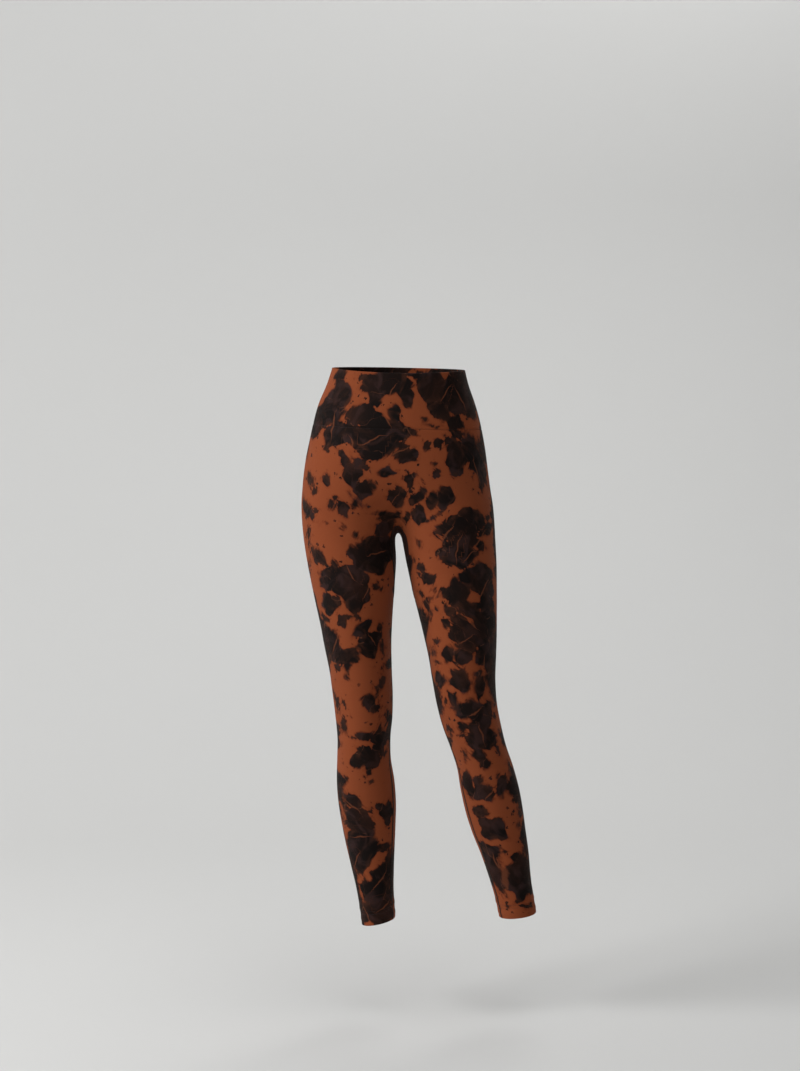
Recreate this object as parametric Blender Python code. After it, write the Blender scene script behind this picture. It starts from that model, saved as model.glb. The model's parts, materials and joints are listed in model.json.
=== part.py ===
"""High-waisted, ankle-length leggings, hollow and filled out on a general standing figure.

Metres, +Z up. The origin is the middle of the waistband's top edge, where the garment is held.
The front faces -Y and +X is the wearer's left. Every place on the cloth is given by two measures:
u runs once round half of the garment, from the centre front (or the inseam) past the outside to the
centre back (or the inseam again), and drop is the way down from the waist edge along the side.
"""

import math

import bmesh
import bpy
import numpy as np
from mathutils import Vector

# Driving sizes, in metres
CLOTH = 0.0014  # one layer of brushed jersey
DOUBLED = 0.0024  # the waistband and the turned-up hems
SEAM_GAP = 0.00034  # between two panels, on the slant of their corners 0.3 mm
WAISTBAND_DROP = 0.102
FORK_DROP = 0.165  # below it the front and back edges curve in under the body
CROTCH_DROP = 0.291
LEG_DROP = 0.984  # to the lower edge, along each leg's own axis
LOWER = {"right": 0.015, "left": 0.0}  # the upright leg reaches lower than the leg that is set aside
LOWER_FROM = 0.420
HEM_DEPTH = 0.025
FRONT_DIP = 0.005  # the waist edge sits lower in front
SEAM_LEAF = 0.012  # share of a panel's width in the narrow strip along each seam, so both sides face alike
SEAM_LEAF_DROP = 0.003
TRUNK_CAP_DROP = 0.120  # where the trunk starts to round off to its underside
TRUNK_CAP_DEPTH = 0.144
THIGH_CAP_DROP = 0.240  # where the thigh starts to round off inside the hip
THIGH_CAP_DEPTH = 0.200
CAP_SHARPNESS = 2.4
HIP_BLEND = 0.040  # how softly the legs run into the trunk
CROTCH_BLEND = 0.015
CROTCH_FADE = 0.030  # how far below the crotch the cloth still moves up and down to meet the arch
ARCH_DROP = 0.008  # over this the two inseams part from the one point under the crotch
CROTCH_FORWARD = 0.001  # where that point lies, front to back
GUSSET_YIELD = 0.35  # share of the body's panel whose strips crowd together beside the gusset
SHARPEST_CORNER = 0.05  # no corner is drawn in further than one as sharp as this
SAME_PLACE = 0.00002  # edges this near each other are sewn into one

# How points are moved onto the cloth
SLOPE_REACH = 0.0004  # between the places that give the way out of the cloth
SETTLE_ROUNDS = 14
FLATTEST_SLOPE = 0.05

# How finely the panels are faceted
HALF_STRIPS = 17  # round half the garment, from one seam to the next
TRUNK_ROW = 0.022  # the most between two rows
LEG_ROW = 0.029
WAISTBAND_ROWS = 4
GUSSET_STRIPS = (0.0, 0.10, 0.24, 0.44, 0.70, 0.94, 1.0)

# Sections of the trunk, one a row: how far down, where the middle lies across, half the width,
# the reach forward and back, how square the oval is, and how much a level line rises towards +X.
TRUNK_COLUMNS = ("drop", "across", "half", "front", "back", "square", "rise")
TRUNK = (
    (0.000, 0.0010, 0.1179, 0.086, 0.088, 2.15, -0.018),
    (0.030, -0.0004, 0.1266, 0.088, 0.092, 2.15, -0.022),
    (0.060, -0.0015, 0.1384, 0.091, 0.096, 2.15, -0.028),
    (0.100, -0.0015, 0.1492, 0.096, 0.103, 2.15, -0.034),
    (0.140, -0.0020, 0.1544, 0.099, 0.109, 2.15, -0.034),
    (0.180, -0.0028, 0.1564, 0.099, 0.113, 2.15, -0.020),
    (0.230, -0.0022, 0.1554, 0.096, 0.112, 2.15, 0.000),
    (0.300, -0.0002, 0.1504, 0.090, 0.106, 2.15, 0.000),
)

# Sections of each leg: the same, with the reach to the front and back measured from its own axis
# at forward (minus is towards the front), and how far the inseam has turned to the front, in degrees.
LEG_COLUMNS = ("drop", "across", "forward", "half", "front", "back", "rise", "turn")
RIGHT_LEG = (
    (0.060, -0.0480, 0.004, 0.0860, 0.078, 0.090, 0.00, 0),
    (0.120, -0.0590, 0.004, 0.0870, 0.082, 0.098, 0.00, 0),
    (0.160, -0.0690, 0.004, 0.0895, 0.086, 0.107, 0.00, 0),
    (0.200, -0.0777, 0.004, 0.0902, 0.088, 0.115, 0.00, 0),
    (0.240, -0.0838, 0.003, 0.0882, 0.088, 0.117, 0.00, 0),
    (0.270, -0.0858, 0.003, 0.0853, 0.087, 0.111, 0.00, 0),
    (0.300, -0.0864, 0.002, 0.0821, 0.086, 0.102, 0.00, 0),
    (0.340, -0.0827, -0.003, 0.0797, 0.083, 0.093, 0.00, 0),
    (0.380, -0.0797, -0.008, 0.0747, 0.079, 0.088, 0.00, 0),
    (0.420, -0.0774, -0.011, 0.0688, 0.075, 0.080, 0.00, 0),
    (0.460, -0.0742, -0.013, 0.0632, 0.071, 0.073, 0.00, 0),
    (0.500, -0.0710, -0.015, 0.0591, 0.067, 0.068, 0.00, 2),
    (0.540, -0.0664, -0.015, 0.0557, 0.064, 0.063, 0.00, 5),
    (0.580, -0.0629, -0.015, 0.0538, 0.061, 0.059, 0.00, 8),
    (0.620, -0.0607, -0.014, 0.0512, 0.058, 0.055, 0.00, 12),
    (0.660, -0.0607, -0.012, 0.0476, 0.056, 0.053, 0.00, 16),
    (0.700, -0.0605, -0.009, 0.0484, 0.053, 0.053, 0.02, 20),
    (0.740, -0.0580, -0.004, 0.0520, 0.050, 0.056, 0.04, 23),
    (0.780, -0.0552, 0.002, 0.0520, 0.049, 0.057, 0.06, 25),
    (0.820, -0.0525, 0.006, 0.0487, 0.047, 0.054, 0.08, 27),
    (0.860, -0.0495, 0.006, 0.0440, 0.043, 0.048, 0.10, 28),
    (0.900, -0.0455, 0.005, 0.0386, 0.039, 0.042, 0.12, 29),
    (0.940, -0.0412, 0.004, 0.0337, 0.036, 0.038, 0.15, 30),
    (0.984, -0.0362, 0.005, 0.0314, 0.036, 0.037, 0.21, 30),
    (1.000, -0.0349, 0.005, 0.0306, 0.036, 0.037, 0.21, 30),
)
LEFT_LEG = (
    (0.060, 0.0460, 0.004, 0.0850, 0.078, 0.090, 0.00, 0),
    (0.120, 0.0560, 0.004, 0.0860, 0.082, 0.098, 0.00, 0),
    (0.160, 0.0640, 0.004, 0.0880, 0.086, 0.107, 0.00, 0),
    (0.200, 0.0736, 0.003, 0.0886, 0.088, 0.115, 0.00, 0),
    (0.240, 0.0817, 0.001, 0.0877, 0.088, 0.117, 0.00, 0),
    (0.270, 0.0861, 0.000, 0.0863, 0.087, 0.111, 0.00, 0),
    (0.300, 0.0906, -0.002, 0.0837, 0.086, 0.102, 0.00, 0),
    (0.350, 0.0964, -0.009, 0.0800, 0.083, 0.092, 0.00, 0),
    (0.390, 0.1011, -0.018, 0.0756, 0.079, 0.085, 0.00, 0),
    (0.430, 0.1064, -0.023, 0.0703, 0.075, 0.078, 0.00, 0),
    (0.470, 0.1114, -0.027, 0.0652, 0.071, 0.072, 0.00, 0),
    (0.510, 0.1152, -0.031, 0.0602, 0.067, 0.067, 0.00, 2),
    (0.550, 0.1179, -0.035, 0.0563, 0.063, 0.063, 0.00, 5),
    (0.590, 0.1225, -0.038, 0.0539, 0.060, 0.059, 0.02, 8),
    (0.630, 0.1310, -0.040, 0.0525, 0.058, 0.056, 0.04, 12),
    (0.670, 0.1431, -0.040, 0.0503, 0.056, 0.054, 0.06, 16),
    (0.710, 0.1562, -0.036, 0.0506, 0.053, 0.054, 0.08, 20),
    (0.750, 0.1649, -0.029, 0.0527, 0.050, 0.057, 0.10, 23),
    (0.790, 0.1729, -0.019, 0.0522, 0.049, 0.057, 0.11, 26),
    (0.830, 0.1817, -0.014, 0.0488, 0.047, 0.054, 0.12, 28),
    (0.870, 0.1924, -0.012, 0.0435, 0.043, 0.048, 0.12, 29),
    (0.910, 0.2013, -0.012, 0.0385, 0.039, 0.042, 0.12, 30),
    (0.950, 0.2102, -0.011, 0.0352, 0.036, 0.038, 0.12, 30),
    (0.984, 0.2170, -0.009, 0.0341, 0.036, 0.037, 0.12, 30),
)
LEGS = {"right": RIGHT_LEG, "left": LEFT_LEG}
OUTWARD = {"right": -1.0, "left": 1.0}

# The gusset's outline: its reach in front of and behind the crotch line and then the inseam, as a share
# of half the way round the garment. Its rows are also rows of the body, so the two meet point to point.
GUSSET_COLUMNS = ("drop", "front", "back")
GUSSET = (
    (0.207, 0.000, 0.000),
    (0.211, 0.000, 0.014),
    (0.221, 0.000, 0.031),
    (0.235, 0.000, 0.048),
    (0.248, 0.000, 0.062),
    (0.259, 0.000, 0.070),
    (0.262, 0.014, 0.0715),
    (0.268, 0.029, 0.0735),
    (0.276, 0.046, 0.076),
    (0.284, 0.060, 0.077),
    (0.291, 0.070, 0.077),
    (0.297, 0.073, 0.077),
    (0.306, 0.073, 0.075),
    (0.325, 0.067, 0.068),
    (0.350, 0.054, 0.054),
    (0.380, 0.030, 0.030),
    (0.410, 0.000, 0.000),
)


def smooth_column(columns, rows, name, drop):
    """One column of a table of sections, read at any drop along a curve through its rows."""
    at = np.array([row[0] for row in rows])
    values = np.array([row[columns.index(name)] for row in rows])
    slopes = np.gradient(values, at)
    place = np.clip(drop, at[0], at[-1])
    low = np.clip(np.searchsorted(at, place, side="right") - 1, 0, len(at) - 2)
    span = at[low + 1] - at[low]
    t = (place - at[low]) / span
    start, finish = values[low], values[low + 1]
    lift = (2 * t**3 - 3 * t**2 + 1) * start + (3 * t**2 - 2 * t**3) * finish
    return lift + (t**3 - 2 * t**2 + t) * span * slopes[low] + (t**3 - t**2) * span * slopes[low + 1]


def oval_distance(x, y, rounding, half, front, back, square):
    """How far a point lies outside an oval that rounds off along rounding, a pair (way, depth)."""
    depth = np.where(y < 0, front, back)
    way, full = rounding
    ring = (np.abs(x / half) ** square + np.abs(y / depth) ** square) ** (CAP_SHARPNESS / square)
    share = (ring + (way / full) ** CAP_SHARPNESS) ** (1 / CAP_SHARPNESS) + 1e-9
    return np.sqrt(x**2 + y**2 + way**2) * (1 - 1 / share)


def trunk_distance(points):
    drop = -points[..., 2]
    across, half, front, back, square = (
        smooth_column(TRUNK_COLUMNS, TRUNK, name, drop)
        for name in ("across", "half", "front", "back", "square")
    )
    rounding = (np.maximum(drop - TRUNK_CAP_DROP, 0), TRUNK_CAP_DEPTH)
    return oval_distance(points[..., 0] - across, points[..., 1], rounding, half, front, back, square)


def leg_distance(points, side):
    drop = -points[..., 2]
    across, forward, half, front, back = (
        smooth_column(LEG_COLUMNS, LEGS[side], name, drop)
        for name in ("across", "forward", "half", "front", "back")
    )
    rounding = (np.maximum(THIGH_CAP_DROP - drop, 0), THIGH_CAP_DEPTH)
    return oval_distance(
        points[..., 0] - across, points[..., 1] - forward, rounding, half, front, back, 2.0
    )


def soft_union(one, other, blend):
    overlap = np.maximum(blend - np.abs(one - other), 0) / blend
    return np.minimum(one, other) - overlap**2 * blend / 4


def figure_distance(points):
    """How far a point lies outside the cloth: both legs run together, and then into the trunk."""
    legs = soft_union(leg_distance(points, "right"), leg_distance(points, "left"), CROTCH_BLEND)
    return soft_union(legs, trunk_distance(points), HIP_BLEND)


def outward(points):
    """The way out of the cloth at each point."""
    slope = np.empty_like(points)
    for axis in range(3):
        step = np.zeros(3)
        step[axis] = SLOPE_REACH
        slope[..., axis] = figure_distance(points + step) - figure_distance(points - step)
    return slope / (2 * SLOPE_REACH)


def settle(points, free_rise):
    """Move rough points onto the cloth, level except where free_rise lets them climb."""
    for _ in range(SETTLE_ROUNDS):
        way = outward(points)
        way[..., 2] *= free_rise
        length = np.maximum((way**2).sum(-1), FLATTEST_SLOPE)
        points = points - way * (figure_distance(points) / length)[..., None]
    return points


def cloth(side, u, drop):
    """Points of the garment's outer face at u round and drop down, both arrays of one shape."""
    u, drop = np.broadcast_arrays(np.asarray(u, float), np.asarray(drop, float))
    out = OUTWARD[side]
    bend = np.clip((drop - FORK_DROP) / (CROTCH_DROP - FORK_DROP), 0, 1) * math.pi / 2
    leg_share = 1 - np.cos(bend)
    inner = np.cos(math.pi * u) ** 2

    trunk = {name: smooth_column(TRUNK_COLUMNS, TRUNK, name, drop) for name in TRUNK_COLUMNS}
    angle = math.pi * u
    depth = np.where(u < 0.5, trunk["front"], trunk["back"])
    trunk_x = trunk["across"] + out * trunk["half"] * np.sin(angle)
    trunk_y = -depth * np.cos(angle)

    at_leg = np.maximum(drop, CROTCH_DROP)
    leg = {name: smooth_column(LEG_COLUMNS, LEGS[side], name, at_leg) for name in LEG_COLUMNS}
    angle = 2 * math.pi * u + np.radians(leg["turn"])
    depth = np.where(np.sin(angle) > 0, leg["front"], leg["back"])
    parting = np.sqrt(1 - (1 - np.clip((drop - CROTCH_DROP) / ARCH_DROP, 0, 1)) ** 2)
    inner_x = (leg["across"] - out * leg["half"]) * parting
    forward = CROTCH_FORWARD + (leg["forward"] - CROTCH_FORWARD) * (1 - inner * (1 - parting))
    middle = (inner_x + leg["across"] + out * leg["half"]) / 2
    leg_x = middle - (middle - inner_x) * np.cos(angle)
    leg_y = forward - depth * np.sin(angle)

    x = (1 - leg_share) * trunk_x + leg_share * leg_x
    y = (1 - leg_share) * trunk_y + leg_share * leg_y
    fork_z = FORK_DROP + (CROTCH_DROP - FORK_DROP) * np.sin(bend)
    z = -drop - np.where(drop < CROTCH_DROP, fork_z - drop, 0) * inner * (bend > 0)
    z += (1 - leg_share) * trunk["rise"] * x
    z += leg_share * leg["rise"] * (x - leg["across"])
    z -= LOWER[side] * np.clip((drop - LOWER_FROM) / (LEG_DROP - LOWER_FROM), 0, 1)
    dip = FRONT_DIP * np.clip(1 - drop / WAISTBAND_DROP, 0, 1) ** 2
    z -= dip * np.clip(-y / trunk["front"], 0, 1) ** 2
    below_fork = np.clip((drop - CROTCH_DROP) / CROTCH_FADE, 0, 1)
    free_rise = np.sin(bend) * inner**2 * (1 + np.cos(math.pi * below_fork)) / 2
    return settle(np.stack([x, y, z], -1), free_rise)


# ---- making the objects


def spaced(start, finish, most):
    """Even places from start to finish, no further apart than most."""
    return np.linspace(start, finish, math.ceil((finish - start) / most) + 1)


def with_leaves(rows, leaf):
    """The same places with one more just inside each end."""
    return np.concatenate([rows[:1], rows[:1] + leaf, rows[1:-1], rows[-1:] - leaf, rows[-1:]])


def gusset_column(name):
    return np.array([row[GUSSET_COLUMNS.index(name)] for row in GUSSET])


def gusset_tip(name):
    """The row of the gusset's table at which its front or its back begins."""
    return np.flatnonzero(gusset_column(name))[0] - 1


def add_grid(mesh, points, side):
    """Add a grid of points to a bmesh, a row down and a column round, and give its dots back."""
    rows, columns = points.shape[:2]
    dots = [[mesh.verts.new(points[row, column]) for column in range(columns)] for row in range(rows)]
    for row in range(rows - 1):
        for column in range(columns - 1):
            face = (
                dots[row][column],
                dots[row + 1][column],
                dots[row + 1][column + 1],
                dots[row][column + 1],
            )
            mesh.faces.new(face if side == "left" else face[::-1])
    return dots


def ease_edges(mesh):
    """Draw a sheet's open edges in by half a seam gap, along the cloth."""
    inward = {}
    for edge in mesh.edges:
        if edge.is_boundary:
            start, finish = edge.verts
            along = (finish.co - start.co).normalized()
            way = edge.link_faces[0].calc_center_median() - start.co
            way = (way - along * way.dot(along)).normalized()
            for dot in edge.verts:
                inward.setdefault(dot, []).append(way)
    for dot, (one, other) in inward.items():
        dot.co += (one + other) * SEAM_GAP / 2 / max(1 + one.dot(other), SHARPEST_CORNER)


def thicken(mesh, thickness):
    """Turn a sheet into a wall: draw a copy of it straight inwards and close the rim between the two."""
    lining = bmesh.ops.extrude_face_region(mesh, geom=mesh.faces[:], use_keep_orig=True)["geom"]
    dots = [item for item in lining if isinstance(item, bmesh.types.BMVert)]
    way = outward(np.array([dot.co for dot in dots]))
    way /= np.linalg.norm(way, axis=-1, keepdims=True)
    for dot, step in zip(dots, way * thickness):
        dot.co -= Vector(step)
    bmesh.ops.recalc_face_normals(mesh, faces=mesh.faces)


def make_material(name, colour):
    material = bpy.data.materials.new(name)
    material.use_nodes = True
    shader = material.node_tree.nodes["Principled BSDF"]
    shader.inputs["Base Color"].default_value = (*colour, 1.0)
    shader.inputs["Roughness"].default_value = 0.85
    shader.inputs["Metallic"].default_value = 0.0
    return material


def make_panel(name, mesh, joined, thickness, material, collection):
    """A cloth panel from the sheet in a bmesh, sewn to itself where its joined dots meet."""
    bmesh.ops.remove_doubles(mesh, verts=joined, dist=SAME_PLACE)
    ease_edges(mesh)
    thicken(mesh, thickness)
    data = bpy.data.meshes.new(name)
    mesh.to_mesh(data)
    mesh.free()
    data.materials.append(material)
    data.shade_smooth()
    panel = bpy.data.objects.new(name, data)
    collection.objects.link(panel)


def body_rows():
    """The drops of the body's rows: on the trunk, beside the gusset and down the legs."""
    beside = gusset_column("drop")
    trunk = spaced(WAISTBAND_DROP, beside[0], TRUNK_ROW)
    legs = spaced(beside[-1], LEG_DROP - HEM_DEPTH, LEG_ROW)
    return with_leaves(np.concatenate([trunk[:-1], beside, legs[1:]]), SEAM_LEAF_DROP)


def beside_gusset(across):
    """How far a place on the body's panel gives way with its edge, which stands off for the gusset."""
    return np.clip(1 - across / GUSSET_YIELD, 0, 1) ** 3


def make_body(material, collection):
    drops = body_rows()[:, None]
    across = with_leaves(np.linspace(0, 1, HALF_STRIPS + 1), SEAM_LEAF)
    start = np.interp(drops, gusset_column("drop"), gusset_column("front"))
    finish = np.interp(drops, gusset_column("drop"), gusset_column("back"))
    u = across + start * beside_gusset(across) - finish * beside_gusset(1 - across)
    uncut = gusset_column("drop")[gusset_tip("front")]
    mesh = bmesh.new()
    centre_front = []
    for side in LEGS:
        dots = add_grid(mesh, cloth(side, u, drops), side)
        centre_front += [row[0] for row, drop in zip(dots, drops[:, 0]) if drop <= uncut]
    make_panel("body", mesh, centre_front, CLOTH, material, collection)


def make_gusset(material, collection):
    across = np.array(GUSSET_STRIPS)
    mesh = bmesh.new()
    for name in ("front", "back"):
        tip = gusset_tip(name)
        u = gusset_column(name)[tip:, None] * across
        if name == "back":
            u = 1 - u[:, ::-1]
        for side in LEGS:
            add_grid(mesh, cloth(side, u, gusset_column("drop")[tip:, None]), side)
    make_panel("gusset", mesh, mesh.verts[:], CLOTH, material, collection)


def make_waistband(material, collection):
    drops = with_leaves(np.linspace(0, WAISTBAND_DROP, WAISTBAND_ROWS + 1), SEAM_LEAF_DROP)[:, None]
    across = with_leaves(np.linspace(0, 1, HALF_STRIPS + 1), SEAM_LEAF)
    mesh = bmesh.new()
    centre_front = []
    for side in LEGS:
        centre_front += [row[0] for row in add_grid(mesh, cloth(side, across, drops), side)]
    make_panel("waistband", mesh, centre_front, DOUBLED, material, collection)


def make_hem(side, material, collection):
    drops = with_leaves(np.array([LEG_DROP - HEM_DEPTH, LEG_DROP]), SEAM_LEAF_DROP)[:, None]
    across = with_leaves(np.linspace(0, 1, HALF_STRIPS + 1), SEAM_LEAF)
    mesh = bmesh.new()
    add_grid(mesh, cloth(side, across, drops), side)
    make_panel(f"hem_{side}", mesh, [], DOUBLED, material, collection)


for old in list(bpy.data.objects):
    bpy.data.objects.remove(old)
leggings = bpy.data.collections.new("leggings")
bpy.context.scene.collection.children.link(leggings)

jersey = make_material("dyed jersey", (0.20, 0.07, 0.03))
gusset_jersey = make_material("gusset jersey", (0.17, 0.06, 0.03))
band_jersey = make_material("waistband jersey", (0.22, 0.08, 0.035))
hem_jersey = make_material("hem jersey", (0.19, 0.066, 0.03))
make_waistband(band_jersey, leggings)
make_body(jersey, leggings)
make_gusset(gusset_jersey, leggings)
for leg_side in LEGS:
    make_hem(leg_side, hem_jersey, leggings)
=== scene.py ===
# %% [markdown]
# # Blotch-dyed, high-waisted leggings
#
# These leggings are hollow: they keep the shape that a wearer gives them, but nobody is inside. The
# plain solids that carry the physics are loaded first and called the frame. Everything below then makes
# the garment that is seen: fine cloth on the same form, seams and stitches, and a dye that runs over
# all of it without a break.
#
# Lengths are metres, +Z is up, the front faces -Y and +X is the wearer's left. The origin is the middle
# of the waist edge. A place on the cloth has two measures: u runs once round half of the garment, from
# the centre front (or the inseam) past the outside to the centre back (or the inseam again), and drop
# is the way down the side.

import functools
import json
import math
import random
from collections import namedtuple

import bpy
import numpy as np
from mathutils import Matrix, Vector, kdtree, noise

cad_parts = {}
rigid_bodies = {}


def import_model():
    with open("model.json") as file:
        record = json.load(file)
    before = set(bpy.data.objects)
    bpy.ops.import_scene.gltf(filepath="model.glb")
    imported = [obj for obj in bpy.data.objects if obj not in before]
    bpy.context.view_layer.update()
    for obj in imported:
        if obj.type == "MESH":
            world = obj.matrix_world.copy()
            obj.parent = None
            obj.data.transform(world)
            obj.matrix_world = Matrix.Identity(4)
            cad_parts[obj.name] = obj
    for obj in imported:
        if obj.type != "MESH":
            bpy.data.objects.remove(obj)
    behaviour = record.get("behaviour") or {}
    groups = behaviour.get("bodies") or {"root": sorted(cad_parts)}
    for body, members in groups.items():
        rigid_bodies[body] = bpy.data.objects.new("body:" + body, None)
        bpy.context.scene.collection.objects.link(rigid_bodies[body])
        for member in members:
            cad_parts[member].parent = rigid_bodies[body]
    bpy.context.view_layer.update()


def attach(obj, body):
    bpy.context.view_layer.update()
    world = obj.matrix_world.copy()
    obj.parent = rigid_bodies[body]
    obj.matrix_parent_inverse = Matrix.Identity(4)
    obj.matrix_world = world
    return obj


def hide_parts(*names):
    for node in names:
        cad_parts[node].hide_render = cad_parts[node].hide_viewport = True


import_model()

# %% [markdown]
# ## Camera, floor and light
#
# Leggings are best shown from waist height, from far enough back that the legs don't splay, so the
# camera has a long lens. The backdrop is one sheet that curves up from floor to wall, so no edge
# crosses the view, and it is made by sweeping a profile sideways. Big soft lamps stand to the left and
# in front, because a matte jersey shows its form only when one side is lit more than the other.

# %% Camera
VIEW_WIDTH, VIEW_HEIGHT = 800, 1071  # the view's size, in squares of the chart below
CAMERA_PLACE = Vector((0.004, -4.5, 0.12))
CAMERA_PITCH = math.radians(5.3)  # looking down
LENS = 0.085
SENSOR_HEIGHT = 0.036

camera_data = bpy.data.cameras.new("camera")
camera_data.sensor_fit = "VERTICAL"
camera_data.sensor_height = SENSOR_HEIGHT * 1000
camera_data.lens = LENS * 1000
camera = bpy.data.objects.new("camera", camera_data)
camera.location = CAMERA_PLACE
camera.rotation_euler = (math.pi / 2 - CAMERA_PITCH, 0, 0)
bpy.context.scene.collection.objects.link(camera)
bpy.context.scene.camera = camera
print("camera:", round(LENS / SENSOR_HEIGHT * VIEW_HEIGHT), "squares of the view for each unit of slope")

# %% Backdrop
FLOOR_Z = -1.17  # where the feet of a wearer would stand
SWEEP_FRONT, SWEEP_BACK, SWEEP_RADIUS, SWEEP_TOP, SWEEP_HALF = -7.0, 3.0, 1.6, 4.5, 7.0


def sweep_profile():
    """The backdrop's side view: along the floor, round the bend and up the wall."""
    bend = [math.radians(angle) for angle in range(0, 91, 5)]
    middle = (SWEEP_BACK - SWEEP_RADIUS, FLOOR_Z + SWEEP_RADIUS)
    curve = [
        (middle[0] + SWEEP_RADIUS * math.sin(angle), middle[1] - SWEEP_RADIUS * math.cos(angle))
        for angle in bend
    ]
    return [(SWEEP_FRONT, FLOOR_Z), *curve, (SWEEP_BACK, SWEEP_TOP)]


def make_backdrop():
    """The profile swept sideways into one sheet, outside the part itself."""
    profile = sweep_profile()
    dots = [(side * SWEEP_HALF, y, z) for side in (-1, 1) for y, z in profile]
    rows = len(profile)
    faces = [(step, step + rows, step + rows + 1, step + 1) for step in range(rows - 1)]
    data = bpy.data.meshes.new("backdrop")
    data.from_pydata(dots, [], faces)
    data.shade_smooth()
    backdrop = bpy.data.objects.new("backdrop", data)
    bpy.context.scene.collection.objects.link(backdrop)
    print("backdrop:", len(faces), "strips from floor to wall")
    return backdrop


backdrop = make_backdrop()

# %% Lamps
KEY = {"place": (-4.0, -1.8, 1.6), "towards": (0, 0, -0.5), "size": 3.0, "power": 215}
FILL = {"place": (1.6, -4.6, 0.9), "towards": (0, 0, -0.5), "size": 2.6, "power": 14}
TOP = {"place": (0.3, -0.9, 3.4), "towards": (0.6, 0, -0.8), "size": 2.4, "power": 42}
BACK = {"place": (0.8, 2.6, 2.0), "towards": (0, 0.4, -1.0), "size": 2.0, "power": 42}
ROOM_LIGHT = 0.14


def make_lamp(name, place, towards, size, power):
    """A square soft box that faces one place."""
    lamp = bpy.data.lights.new(name, "AREA")
    lamp.size = size
    lamp.energy = power
    stand = bpy.data.objects.new(name, lamp)
    stand.location = place
    stand.rotation_euler = (Vector(towards) - stand.location).to_track_quat("-Z", "Y").to_euler()
    bpy.context.scene.collection.objects.link(stand)


for lamp_name, lamp in {"key": KEY, "fill": FILL, "top": TOP, "back": BACK}.items():
    make_lamp(lamp_name, **lamp)
room = bpy.data.worlds.new("room")
room.use_nodes = True
room.node_tree.nodes["Background"].inputs["Color"].default_value = (ROOM_LIGHT, ROOM_LIGHT, ROOM_LIGHT, 1)
bpy.context.scene.world = room
bpy.context.scene.view_settings.view_transform = "Standard"
print("lamps:", KEY["power"], "watts from the left,", FILL["power"], "from the front and two from above")

# %% [markdown]
# ## The form that the cloth is stretched over
#
# Stretch cloth takes the shape of what is in it. Instead of sculpting that by hand, the form is worked
# out: an oval trunk and two oval legs, each read from a short table of sections, are blended where they
# meet. The blend gives each point in space a distance from the cloth, and rough points are pushed along
# it until they lie on the cloth. The tables are those of the solid frame, so the fine cloth lands in
# the same place.

# %% Sizes of the garment
CLOTH = 0.0014  # one layer of brushed jersey
DOUBLED = 0.0024  # the waistband and the turned-up hems
WAISTBAND_DROP = 0.102
FORK_DROP = 0.165  # below it the front and back edges curve in under the body
CROTCH_DROP = 0.291
LEG_DROP = 0.984  # to the lower edge, along each leg's own axis
LOWER = {"right": 0.015, "left": 0.0}  # the upright leg reaches lower than the leg that is set aside
LOWER_FROM = 0.420
HEM_DEPTH = 0.025
FRONT_DIP = 0.005  # the waist edge sits lower in front
TRUNK_CAP_DROP, TRUNK_CAP_DEPTH = 0.120, 0.144  # where the trunk rounds off to its underside
THIGH_CAP_DROP, THIGH_CAP_DEPTH = 0.240, 0.200  # where the thigh rounds off inside the hip
CAP_SHARPNESS = 2.4
LEG_SQUARE = 2.0  # a leg's section is a plain oval
TINY = 1e-9
HIP_BLEND, CROTCH_BLEND = 0.040, 0.015  # how softly the legs run into the trunk and each other
CROTCH_FADE = 0.030
ARCH_DROP = 0.008  # over this the two inseams part from the one point under the crotch
CROTCH_FORWARD = 0.001
SLOPE_REACH = 0.0004  # between the places that give the way out of the cloth
SETTLE_ROUNDS = 14
CLOSE_ENOUGH = 0.000001
FLATTEST_SLOPE = 0.05
print(f"legs: {LEG_DROP - CROTCH_DROP:.3f} m inside and {LEG_DROP:.3f} m outside")

# %% Sections of the trunk
# How far down, where the middle lies across, half the width, the reach forward and back, how square the
# oval is, and how much a level line rises towards +X.
TRUNK_COLUMNS = ("drop", "across", "half", "front", "back", "square", "rise")
TRUNK = (
    (0.000, 0.0010, 0.1179, 0.086, 0.088, 2.15, -0.018),
    (0.030, -0.0004, 0.1266, 0.088, 0.092, 2.15, -0.022),
    (0.060, -0.0015, 0.1384, 0.091, 0.096, 2.15, -0.028),
    (0.100, -0.0015, 0.1492, 0.096, 0.103, 2.15, -0.034),
    (0.140, -0.0020, 0.1544, 0.099, 0.109, 2.15, -0.034),
    (0.180, -0.0028, 0.1564, 0.099, 0.113, 2.15, -0.020),
    (0.230, -0.0022, 0.1554, 0.096, 0.112, 2.15, 0.000),
    (0.300, -0.0002, 0.1504, 0.090, 0.106, 2.15, 0.000),
)
print("trunk:", len(TRUNK), "sections")

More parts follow.
